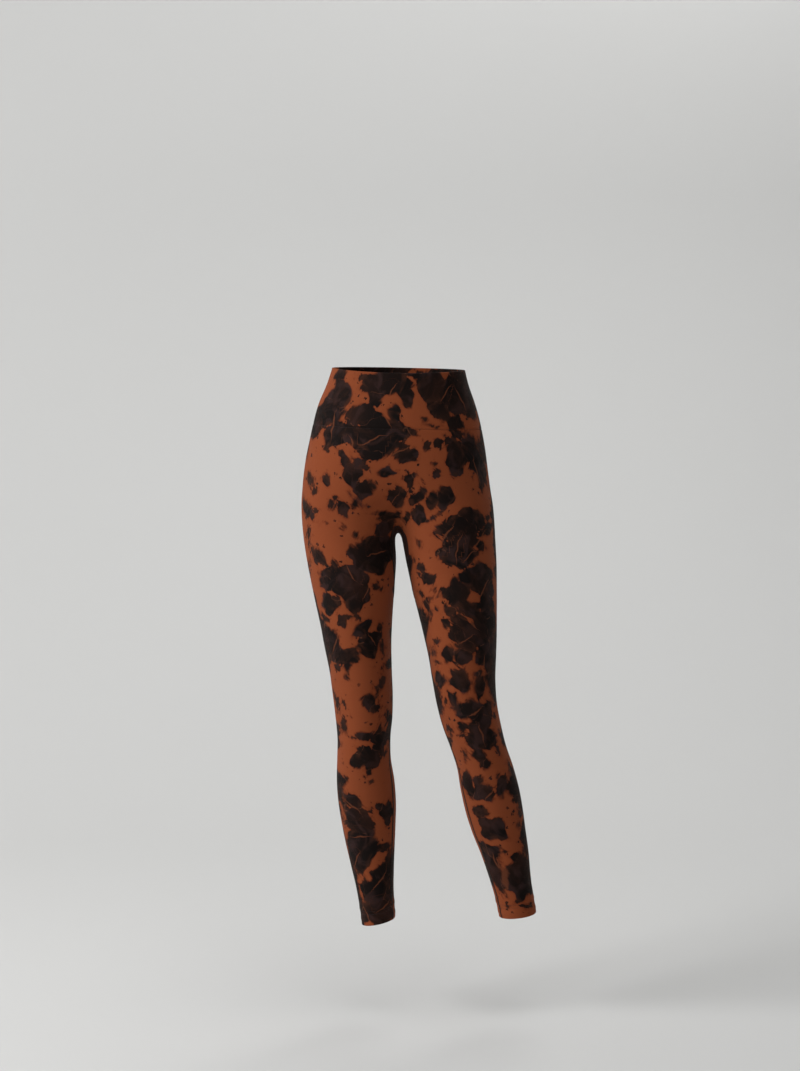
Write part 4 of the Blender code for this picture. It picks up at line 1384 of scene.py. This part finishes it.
def beside_chain(chain, places, away):
    """Points on the cloth at these distances along a chain, and so far to one side of it."""
    along = np.concatenate([[0], np.cumsum(np.linalg.norm(np.diff(chain, axis=0), axis=1))])

    def at(distances):
        return np.stack([np.interp(distances, along, chain[:, axis]) for axis in range(3)], -1)

    points = at(places)
    if np.any(away):
        aside = np.cross(way_out(points), at(places + STITCH_GAP) - at(places - STITCH_GAP))
        points += aside / np.linalg.norm(aside, axis=1, keepdims=True) * np.reshape(away, (-1, 1))
    return on_cloth(points)


# %% Rows of stitches
def stitch_places(chain):
    """Where each stitch along a chain starts."""
    length = np.linalg.norm(np.diff(chain, axis=0), axis=1).sum()
    return np.arange(END_CLEARANCE, length - END_CLEARANCE - STITCH_PITCH, STITCH_PITCH)


def plain_row(chain, away=0.0):
    """Where each stitch of a straight row starts and ends, so far to one side of the chain."""
    places = stitch_places(chain)
    starts = beside_chain(chain, places + STITCH_GAP / 2, away)
    return starts, beside_chain(chain, places + STITCH_PITCH - STITCH_GAP / 2, away)


def cover_row(chain):
    """The thread that runs to and fro over a flatlock."""
    places = stitch_places(chain)
    places = np.sort(np.concatenate([places, places + STITCH_PITCH / 2]))
    sides = FLATLOCK_NEEDLES * np.where(np.arange(len(places)) % 2 == 0, -1, 1)
    corners = beside_chain(chain, places, sides)
    return corners[:-1], corners[1:]


def flatlock_rows(chains):
    """A flatlock's two plain rows and its cover thread, along each of its chains."""
    rows = []
    for chain in chains:
        rows += [plain_row(chain, away) for away in (-FLATLOCK_NEEDLES, FLATLOCK_NEEDLES)]
        rows.append(cover_row(chain))
    return rows


print("stitches of the waist seam:", sum(len(stitch_places(chain)) for chain in waist_seam))

# %% Threads
# The rings of a capsule: its place along the stitch, and its height and width in thread radiuses.
STITCH_RINGS = ((0.00, -0.6, 0.45), (0.16, 0.45, 1.0), (0.84, 0.45, 1.0), (1.00, -0.6, 0.45))
THREAD_SIDES = 6
CAPSULE_DOTS = len(STITCH_RINGS) * THREAD_SIDES


def capsule_dots(starts, finishes, outs):
    """The dots of one capsule after another, ring by ring."""
    along = finishes - starts
    aside = np.cross(outs, along)
    aside /= np.linalg.norm(aside, axis=1, keepdims=True)
    angles = np.arange(THREAD_SIDES) * 2 * math.pi / THREAD_SIDES
    circle = aside[:, None] * np.cos(angles)[:, None] + outs[:, None] * np.sin(angles)[:, None]
    rings = []
    for share, height, width in STITCH_RINGS:
        middle = starts + along * share + outs * THREAD_RADIUS * height
        rings.append(middle[:, None] + circle * THREAD_RADIUS * width)
    return np.stack(rings, 1).reshape(-1, 3)


def capsule_faces():
    """The faces of one capsule: strips between its rings, and a cap at each end."""
    sides, last = THREAD_SIDES, CAPSULE_DOTS - THREAD_SIDES
    strips = [
        (low + turn, low + (turn + 1) % sides, low + (turn + 1) % sides + sides, low + turn + sides)
        for low in range(0, last, sides)
        for turn in range(sides)
    ]
    return [*strips, tuple(range(sides))[::-1], tuple(range(last, CAPSULE_DOTS))]


print("a stitch:", len(capsule_faces()), "faces")

# %% Making a piece of stitches
def make_stitches(name, rows):
    """One piece with a capsule of thread for each stitch in the rows."""
    starts = np.concatenate([row[0] for row in rows])
    finishes = np.concatenate([row[1] for row in rows])
    middles = (starts + finishes) / 2
    outs = way_out(middles)
    pattern = capsule_faces()
    firsts = range(0, len(starts) * CAPSULE_DOTS, CAPSULE_DOTS)
    faces = [tuple(first + dot for dot in face) for first in firsts for face in pattern]
    data = bpy.data.meshes.new(name)
    data.from_pydata(capsule_dots(starts, finishes, outs), [], faces)
    data.shade_smooth()
    dye, streaks = dye_marks(middles, outs), beside_streaks(middles)
    add_attribute(data, "dye", "FLOAT_VECTOR", np.repeat(dye, CAPSULE_DOTS, axis=0))
    add_attribute(data, "streak", "FLOAT", np.repeat(streaks, CAPSULE_DOTS))
    triangles = sum(len(face) - 2 for face in pattern) * len(starts)
    print(f"{name}: {len(starts)} stitches, {triangles} triangles")
    return link_mesh(name, data)


# %% All the stitches
seam_threads = {
    name: make_stitches(f"{name}_flatlock", flatlock_rows(chains)) for name, chains in flatlocks.items()
}
waist_rows = [plain_row(chain, WAIST_NEEDLES) for chain in waist_seam]
waist_thread = make_stitches("waist_seam_thread", waist_rows)
hem_threads = {
    side: make_stitches(f"hem_{side}_thread", [plain_row(chain) for chain in chains])
    for side, chains in hem_seams.items()
}

# %% [markdown]
# ## Writing materials as sums
#
# A material's nodes are a sum that is worked out at each point of a surface. Two small classes let that
# sum be written as one: a Finish adds nodes by one method, and a Value stands for a socket and turns +,
# - and * into Math nodes. Colours are blended by Mix nodes, because a Math node would turn them grey.

# %% A socket in a sum
class Value:
    """A socket that gives one number at each point, for use in sums."""

    def __init__(self, finish, socket):
        self.finish, self.socket = finish, socket

    def maths(self, operation, first, second=0.0):
        """A Math node on one or two numbers."""
        return self.finish.node("Math", {"operation": operation}, {0: first, 1: second})

    def __add__(self, other):
        return self.maths("ADD", self, other)

    def __sub__(self, other):
        return self.maths("SUBTRACT", self, other)

    def __rsub__(self, other):
        return self.maths("SUBTRACT", other, self)

    def __mul__(self, other):
        return self.maths("MULTIPLY", self, other)

    __radd__, __rmul__ = __add__, __mul__

    def __abs__(self):
        return self.maths("ABSOLUTE", self)


# %% A material that nodes are added to
class Finish:
    """A material whose nodes are added one call at a time."""

    def __init__(self, name, **constants):
        self.material = bpy.data.materials.new(name)
        self.material.use_nodes = True
        self.nodes, self.links = self.material.node_tree.nodes, self.material.node_tree.links
        self.shader = self.nodes["Principled BSDF"]
        for socket, value in constants.items():
            self.shader.inputs[socket.replace("_", " ")].default_value = value

    def node(self, kind, settings=None, sockets=None, output=0):
        """Add a node: first its settings, then the values or links of its sockets."""
        made = self.nodes.new(f"ShaderNode{kind}")
        for name, value in (settings or {}).items():
            setattr(made, name, value)
        for name, value in (sockets or {}).items():
            self.join(value, made.inputs[name])
        return Value(self, made.outputs[output])

    def join(self, value, socket):
        """Link a value to a socket, or set a plain number or colour on it."""
        if isinstance(value, Value):
            self.links.new(value.socket, socket)
        else:
            socket.default_value = value

    def drive(self, socket, value):
        """Give one of the shader's own sockets what changes over the surface."""
        self.join(value, self.shader.inputs[socket])


# %% Blends, steps and noise
MIX_FACTOR, MIX_FIRST, MIX_SECOND, MIX_COLOUR = 0, 6, 7, 2  # a colour Mix node's sockets, by number


def blended(finish, share, first, second):
    """Colours first to second by a share from 0 to 1."""
    sockets = {MIX_FACTOR: share, MIX_FIRST: first, MIX_SECOND: second}
    return finish.node("Mix", {"data_type": "RGBA"}, sockets, MIX_COLOUR)


def step(finish, value, low, high):
    """A soft step: 0 where value is below low and 1 where it is above high."""
    settings = {"interpolation_type": "SMOOTHSTEP"}
    return finish.node("MapRange", settings, {"Value": value, "From Min": low, "From Max": high})


def larger(finish, one, other):
    """The larger of two numbers."""
    return finish.node("Math", {"operation": "MAXIMUM"}, {0: one, 1: other})


def shaded(finish, colour, lumps, more, least):
    """A colour whose brightness starts from least and gains up to more with the lumps of a noise."""
    return finish.node("HueSaturation", {}, {"Color": colour, "Value": lumps * more + least})


def grain(finish, place, per_metre, detail=2.0, roughness=0.5, distortion=0.0):
    """Noise with so many lumps a metre."""
    sockets = {"Vector": place, "Scale": per_metre, "Detail": detail, "Roughness": roughness}
    return finish.node("TexNoise", {}, {**sockets, "Distortion": distortion})


# %% [markdown]
# ## The dyed jersey
#
# The distance that each dot carries says how far it lies inside a patch of dye, and the material does the
# rest. It frays the edge with strokes and hairs, lets it be crisp here and bled there, scatters specks
# round the patches, and mottles their middles with brown and plum. The ground is a rust that reddens
# beside the black. An image could do this too, but noise stays sharp however close the camera comes.

# %% Colours of the jersey
RUST = (0.226, 0.0530, 0.0180, 1)
RUST_DEEP = (0.118, 0.0208, 0.0062, 1)  # the ground beside the dark dye, and on the gusset painted shade with dye
BLACK = (0.0042, 0.0021, 0.0017, 1)
PLUM = (0.0290, 0.0135, 0.0128, 1)  # the colder parts of a patch
SCORCH = (0.036, 0.0120, 0.0064, 1)  # its brown parts, and where the dye is weak
VEIN = (0.150, 0.054, 0.028, 1)  # the fine lines where two patches meet
BARE = (0.125, 0.036, 0.015, 1)  # the streaks that stayed bare
# painted shade with dye: the cloth under a flatlock's threads, and the whole gusset, are darkened towards
# this colour
SHADE_AND_DYE_DARK = (0.0130, 0.0055, 0.0040, 1)  # the cloth under a flatlock's threads
MILLIMETRES = 1000.0
VECTOR_OUTPUT, NUMBER_OUTPUT, NOISE_COLOUR_OUTPUT = 1, 2, 1

# The noises of the dye: lumps a metre, detail, roughness and distortion.
STROKES = (90, 3.0, 0.55, 0.6)
HAIRS = (330, 2.0, 0.5, 0.4)
FRINGE = (230, 2.0, 0.5, 0.3)
BROWN_PARTS = (48, 2.0, 0.5, 1.4)
COLD_PARTS = (30, 2.0, 0.5, 1.0)
SLOW_SHADE = (14, 2.0, 0.5, 0.4)
RAGGED_PLACES, BLED_PLACES, SLANT_PLACES = 11, 34, 16  # lumps a metre of the plainest ones


def attribute(finish, name, output):
    """What each dot of the cloth carries under this name."""
    return finish.node("Attribute", {"attribute_type": "GEOMETRY", "attribute_name": name}, {}, output)


def part(finish, vector, axis):
    """One of a vector's three numbers."""
    return finish.node("SeparateXYZ", {}, {0: vector}, axis)


def swing(value):
    """Noise lies round 0.5; this lies round 0."""
    return value - 0.5


# %% Strokes
BRUSH_LEANS = (0.62, -0.85)  # the dye was dragged along these two slants
BRUSH_STRETCH = 3.0  # how much longer than wide a stroke is
SLANT_STEP = (0.44, 0.56)  # how sharply one slant gives way to the other


def brushed(finish, place, per_metre, detail, roughness, distortion):
    """Noise drawn out along one slant here and another there."""
    strokes = []
    for lean in BRUSH_LEANS:
        sockets = {"Vector": place, "Rotation": (0, lean, 0), "Scale": (1, 1, BRUSH_STRETCH)}
        slanted = finish.node("Mapping", {"vector_type": "TEXTURE"}, sockets)
        strokes.append(grain(finish, slanted, per_metre, detail, roughness, distortion))
    share = step(finish, grain(finish, place, SLANT_PLACES), *SLANT_STEP)
    return strokes[0] + (strokes[1] - strokes[0]) * share


# %% Specks
SPECK_CELLS = 95.0  # a metre has so many cells, and a cell at most one speck
SPECK_PUSH, SPECK_TEAR = 260.0, (0.008, 0.008, 0.008)  # noise that moves their outlines, and how far
SPECK_LUCK = (0.52, 1.0)  # a cell with less luck than the first has no speck
SPECK_SIZE, SPECK_LOSS = 0.32, 0.04  # in cells
SPECK_HAIRS, SPECK_SOFT = 0.7, 0.04
SPECK_REACH = (-18.0, -6.0)  # millimetres from a patch where they start and are at their full number


def specks(finish, place, inside, hairs):
    """Small drops of dye, scattered round the patches."""
    noise_sockets = {"Vector": place, "Scale": SPECK_PUSH, "Detail": 2.0}
    push = finish.node("TexNoise", {}, noise_sockets, NOISE_COLOUR_OUTPUT)
    moved = {0: push, 1: SPECK_TEAR, 2: place}
    ragged = finish.node("VectorMath", {"operation": "MULTIPLY_ADD"}, moved)
    cells = finish.node("TexVoronoi", {}, {"Vector": ragged, "Scale": SPECK_CELLS})
    cell_colour = Value(finish, cells.socket.node.outputs["Color"])
    luck = finish.node("SeparateColor", {}, {"Color": cell_colour})
    size = step(finish, luck, *SPECK_LUCK) * SPECK_SIZE - SPECK_LOSS
    drop = step(finish, size - cells + swing(hairs) * SPECK_HAIRS, -SPECK_SOFT, SPECK_SOFT)
    return drop * step(finish, inside, *SPECK_REACH)


# %% Frayed edges
# How far noise moves a patch's edge, in millimetres: everywhere, and more where the edge is ragged.
STROKE_FRAY, STROKE_FRAY_MORE = 8.0, 9.0
HAIR_FRAY, HAIR_FRAY_MORE = 1.2, 3.0
RAGGED_STEP = (0.42, 0.60)
WEAK_LOSS = 0.6  # weak dye reaches less far
WEAK_FRAY, WEAK_STEP = 12.0, (0.05, 0.6)  # and frays more
EDGE_WIDTH, BLED_WIDTH, WEAK_WIDTH = 0.75, 2.2, 0.6  # how soft an edge is, and more where it bled
BLED_STEP = (0.44, 0.64)


def frayed_edge(finish, place, inside, weak, strokes, hairs):
    """Millimetres inside the frayed edge at each point, and how soft the edge is there."""
    ragged = step(finish, grain(finish, place, RAGGED_PLACES), *RAGGED_STEP)
    frayed = inside + swing(strokes) * (ragged * STROKE_FRAY_MORE + STROKE_FRAY)
    frayed = frayed + swing(hairs) * (ragged * HAIR_FRAY_MORE + HAIR_FRAY) - weak * WEAK_LOSS
    fringe = swing(brushed(finish, place, *FRINGE))
    frayed = frayed + fringe * step(finish, weak, *WEAK_STEP) * WEAK_FRAY
    bled = step(finish, grain(finish, place, BLED_PLACES), *BLED_STEP)
    return frayed, bled * BLED_WIDTH + EDGE_WIDTH + weak * WEAK_WIDTH


# %% Shades inside the patches
DEEP_STEP, DEEP_LOSS = (3.0, 9.0), 0.7  # brown gets less so many millimetres inside a patch
BROWN_STEP = (0.46, 0.66)
COLD_STEP, COLD_SHARE = (0.47, 0.68), 0.85
WEAK_BROWN = 0.9
VEIN_FRAY, VEIN_STEP, VEIN_PLACES, VEIN_SHARE = 2.0, (0.1, 1.0), (0.46, 0.62), 0.55
STREAK_FRAY, STREAK_STEP, STREAK_SHARE = 1.6, (0.5, 1.6), 0.8


def patch_colour(finish, place, inside, lead, weak, strokes, hairs):
    """Black with plum and brown parts, fine veins and bare streaks."""
    deep = step(finish, inside, *DEEP_STEP)
    brown = step(finish, brushed(finish, place, *BROWN_PARTS), *BROWN_STEP)
    cold = step(finish, grain(finish, place, *COLD_PARTS), *COLD_STEP)
    patch = blended(finish, cold * COLD_SHARE, BLACK, PLUM)
    patch = blended(finish, brown * (1 - deep * DEEP_LOSS), patch, SCORCH)
    patch = blended(finish, weak * WEAK_BROWN, patch, SCORCH)
    crossing = abs(lead + swing(hairs) * VEIN_FRAY)
    vein = (1 - step(finish, crossing, *VEIN_STEP)) * step(finish, strokes, *VEIN_PLACES)
    patch = blended(finish, vein * VEIN_SHARE, patch, VEIN)
    streak = abs(attribute(finish, "streak", NUMBER_OUTPUT) + swing(hairs) * STREAK_FRAY)
    return blended(finish, (1 - step(finish, streak, *STREAK_STEP)) * STREAK_SHARE, patch, BARE)


# %% The whole dye
HALO_STEP, HALO_SHARE = (-4.5, 0.5), 0.38  # millimetres inside an edge where the ground is deeper
SLOW_SWING = 0.5


def dye_colour(finish, place, depth=0.0):
    """The jersey's colour, its ground deepened by depth (painted shade with dye), and the dye's darkness
    at each point.
    """
    marks = attribute(finish, "dye", VECTOR_OUTPUT)
    inside = part(finish, marks, 0) * MILLIMETRES
    lead = part(finish, marks, 1) * MILLIMETRES
    weak = 1 - part(finish, marks, 2)
    strokes, hairs = brushed(finish, place, *STROKES), brushed(finish, place, *HAIRS)
    frayed, width = frayed_edge(finish, place, inside, weak, strokes, hairs)
    dark = step(finish, frayed, width * -1, width)
    dark = larger(finish, dark, specks(finish, place, inside, hairs))
    slow = swing(grain(finish, place, *SLOW_SHADE))
    deeper = step(finish, frayed, *HALO_STEP) * HALO_SHARE + slow * SLOW_SWING + depth
    ground = blended(finish, deeper, RUST, RUST_DEEP)
    patch = patch_colour(finish, place, inside, lead, weak, strokes, hairs)
    return blended(finish, dark, ground, patch), dark


# %% [markdown]
# ## Nap, ribs and sheen
#
# Three small things make the dyed surface read as brushed jersey and not as paint: a nap of tiny fibres
# that shades the colour, fine ribs across which the bump rises and falls, and a low, wide sheen. The
# ribs follow the knit's own measure, so they run down the legs. The cloth right under a flatlock is
# painted darker, partly as painted shade in the seam and partly for dye that settled along it. The
# gusset is darkened the same way, for the shade under the crotch and for more of the dark dye.

# %% Jersey
WALE = 0.00042  # between two ribs of the knit
NAP, NAP_SHADE = (1300, 3.0, 0.7), (0.30, 0.85)
# painted shade with dye along each flatlock: the seam's shade and the dye that settled there
SEAM_SHADE_AND_DYE_STEP, SEAM_SHADE_AND_DYE = (1.9, 2.9), 0.85  # millimetres from a flatlock's middle
ROUGH, DARK_LESS_ROUGH, NAP_ROUGH = 0.86, 0.08, 0.1
RIB_HEIGHT, NAP_HEIGHT, JERSEY_BUMP = 0.5, 0.9, 0.00006
GUSSET_SHADE_AND_DYE_DEPTH, GUSSET_SHADE_AND_DYE_DIM = 0.8, 0.85  # the gusset is darkened: painted shade under the crotch, and more of the dark dye


def make_jersey(name, depth=0.0, dim=0.0):
    """Brushed stretch jersey with dye, nap and ribs; depth and dim darken it all over, painted shade with
    dye.
    """
    finish = Finish(
        name,
        Sheen_Weight=0.045,
        Sheen_Roughness=0.40,
        Sheen_Tint=(0.9, 0.72, 0.62, 1),
        Specular_IOR_Level=0.10,
    )
    place = finish.node("TexCoord", {}, {}, "Object")
    colour, dark = dye_colour(finish, place, depth)
    knit = attribute(finish, "knit", VECTOR_OUTPUT)
    from_flatlock = part(finish, knit, 2) * MILLIMETRES
    # painted shade with dye: the cloth under a flatlock, and a whole piece as far as dim says, goes
    # towards the seam's dark colour
    seam_shade_and_dye = (1 - step(finish, from_flatlock, *SEAM_SHADE_AND_DYE_STEP)) * SEAM_SHADE_AND_DYE
    colour = blended(finish, larger(finish, seam_shade_and_dye, dim), colour, SHADE_AND_DYE_DARK)
    nap = grain(finish, place, *NAP)
    finish.drive("Base Color", shaded(finish, colour, nap, *NAP_SHADE))
    finish.drive("Roughness", ROUGH - dark * DARK_LESS_ROUGH + swing(nap) * NAP_ROUGH)
    turns = part(finish, knit, 0) * (2 * math.pi / WALE)
    rib = finish.node("Math", {"operation": "SINE"}, {0: turns})
    height = rib * RIB_HEIGHT + nap * NAP_HEIGHT
    bump = finish.node("Bump", {}, {"Strength": 1.0, "Distance": JERSEY_BUMP, "Height": height})
    finish.drive("Normal", bump)
    return finish.material


jerseys = {
    "body": make_jersey("dyed jersey"),
    # the gusset is painted darker: shade under the crotch, together with more of the dark dye
    "gusset": make_jersey("gusset jersey", GUSSET_SHADE_AND_DYE_DEPTH, GUSSET_SHADE_AND_DYE_DIM),
    "band": make_jersey("waistband jersey"),
    "hem": make_jersey("hem jersey"),
}
body.data.materials.append(jerseys["body"])
gusset.data.materials.append(jerseys["gusset"])
waistband.data.materials.append(jerseys["band"])
for hem in hems.values():
    hem.data.materials.append(jerseys["hem"])
for jersey in jerseys.values():
    print(jersey.name + ":", len(jersey.node_tree.nodes), "nodes")

# %% [markdown]
# ## Thread and paper
#
# The flatlocks are sewn with dark thread. The rows at the waist and the hems were dyed with the
# garment, so they take its colour and only a little of the thread's own. The backdrop is plain paper,
# so dull that it takes light and shadow and shows nothing of itself.

# %% Thread
THREAD = (0.0150, 0.0065, 0.0045, 1)
THREAD_SHARE = 0.35  # how much of its own colour a dyed thread keeps
THREAD_TWIST, TWIST_SHADE = (2600, 2.0, 0.6), (0.6, 0.75)
TWIST_ROUGH, THREAD_ROUGH = 0.2, 0.5
THREAD_BUMP, THREAD_BUMP_STRENGTH = 0.00004, 0.8


def make_thread(name, dyed):
    """Spun thread, dark all over or dyed with the garment."""
    finish = Finish(name, Sheen_Weight=0.05, Specular_IOR_Level=0.22)
    place = finish.node("TexCoord", {}, {}, "Object")
    twist = grain(finish, place, *THREAD_TWIST)
    colour = THREAD
    if dyed:
        colour = blended(finish, THREAD_SHARE, dye_colour(finish, place)[0], THREAD)
    finish.drive("Base Color", shaded(finish, colour, twist, *TWIST_SHADE))
    finish.drive("Roughness", twist * TWIST_ROUGH + THREAD_ROUGH)
    sockets = {"Strength": THREAD_BUMP_STRENGTH, "Distance": THREAD_BUMP, "Height": twist}
    finish.drive("Normal", finish.node("Bump", {}, sockets))
    return finish.material


dark_thread, dyed_thread = make_thread("dark thread", False), make_thread("dyed thread", True)
for stitches in seam_threads.values():
    stitches.data.materials.append(dark_thread)
for stitches in (waist_thread, *hem_threads.values()):
    stitches.data.materials.append(dyed_thread)
print("threads:", dark_thread.name, "and", dyed_thread.name)

# %% Paper of the backdrop
PAPER, PAPER_LUMPS, PAPER_SHADE = (0.67, 0.67, 0.66, 1), 0.35, (0.06, 0.97)
paper = Finish("backdrop paper", Roughness=0.95, Specular_IOR_Level=0.1)
paper_grain = grain(paper, paper.node("TexCoord", {}, {}, "Object"), PAPER_LUMPS)
paper.drive("Base Color", shaded(paper, PAPER, paper_grain, *PAPER_SHADE))
backdrop.data.materials.append(paper.material)
print("backdrop:", paper.material.name)

# %% [markdown]
# ## Fastening everything to the frame
#
# Every piece rides on the frame's one body, and each cloth piece hides the plain solid it stands for.
# Worn leggings are stretched by about a fifth round the body and hardly at all down the leg, so the cut
# sizes are smaller than the worn ones.

for piece, node, slot_name in (
    (body, "body", "dyed_jersey"),
    (gusset, "gusset", "gusset_jersey"),
    (waistband, "waistband", "waistband_jersey"),
    (hems["right"], "hem_right", "hem_jersey"),
    (hems["left"], "hem_left", "hem_jersey"),
):
    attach(piece, "root")
    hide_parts(node)
for stitches, slot_name in (
    *((stitches, "dyed_jersey") for stitches in seam_threads.values()),
    (waist_thread, "waistband_jersey"),
    *((stitches, "hem_jersey") for stitches in hem_threads.values()),
):
    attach(stitches, "root")
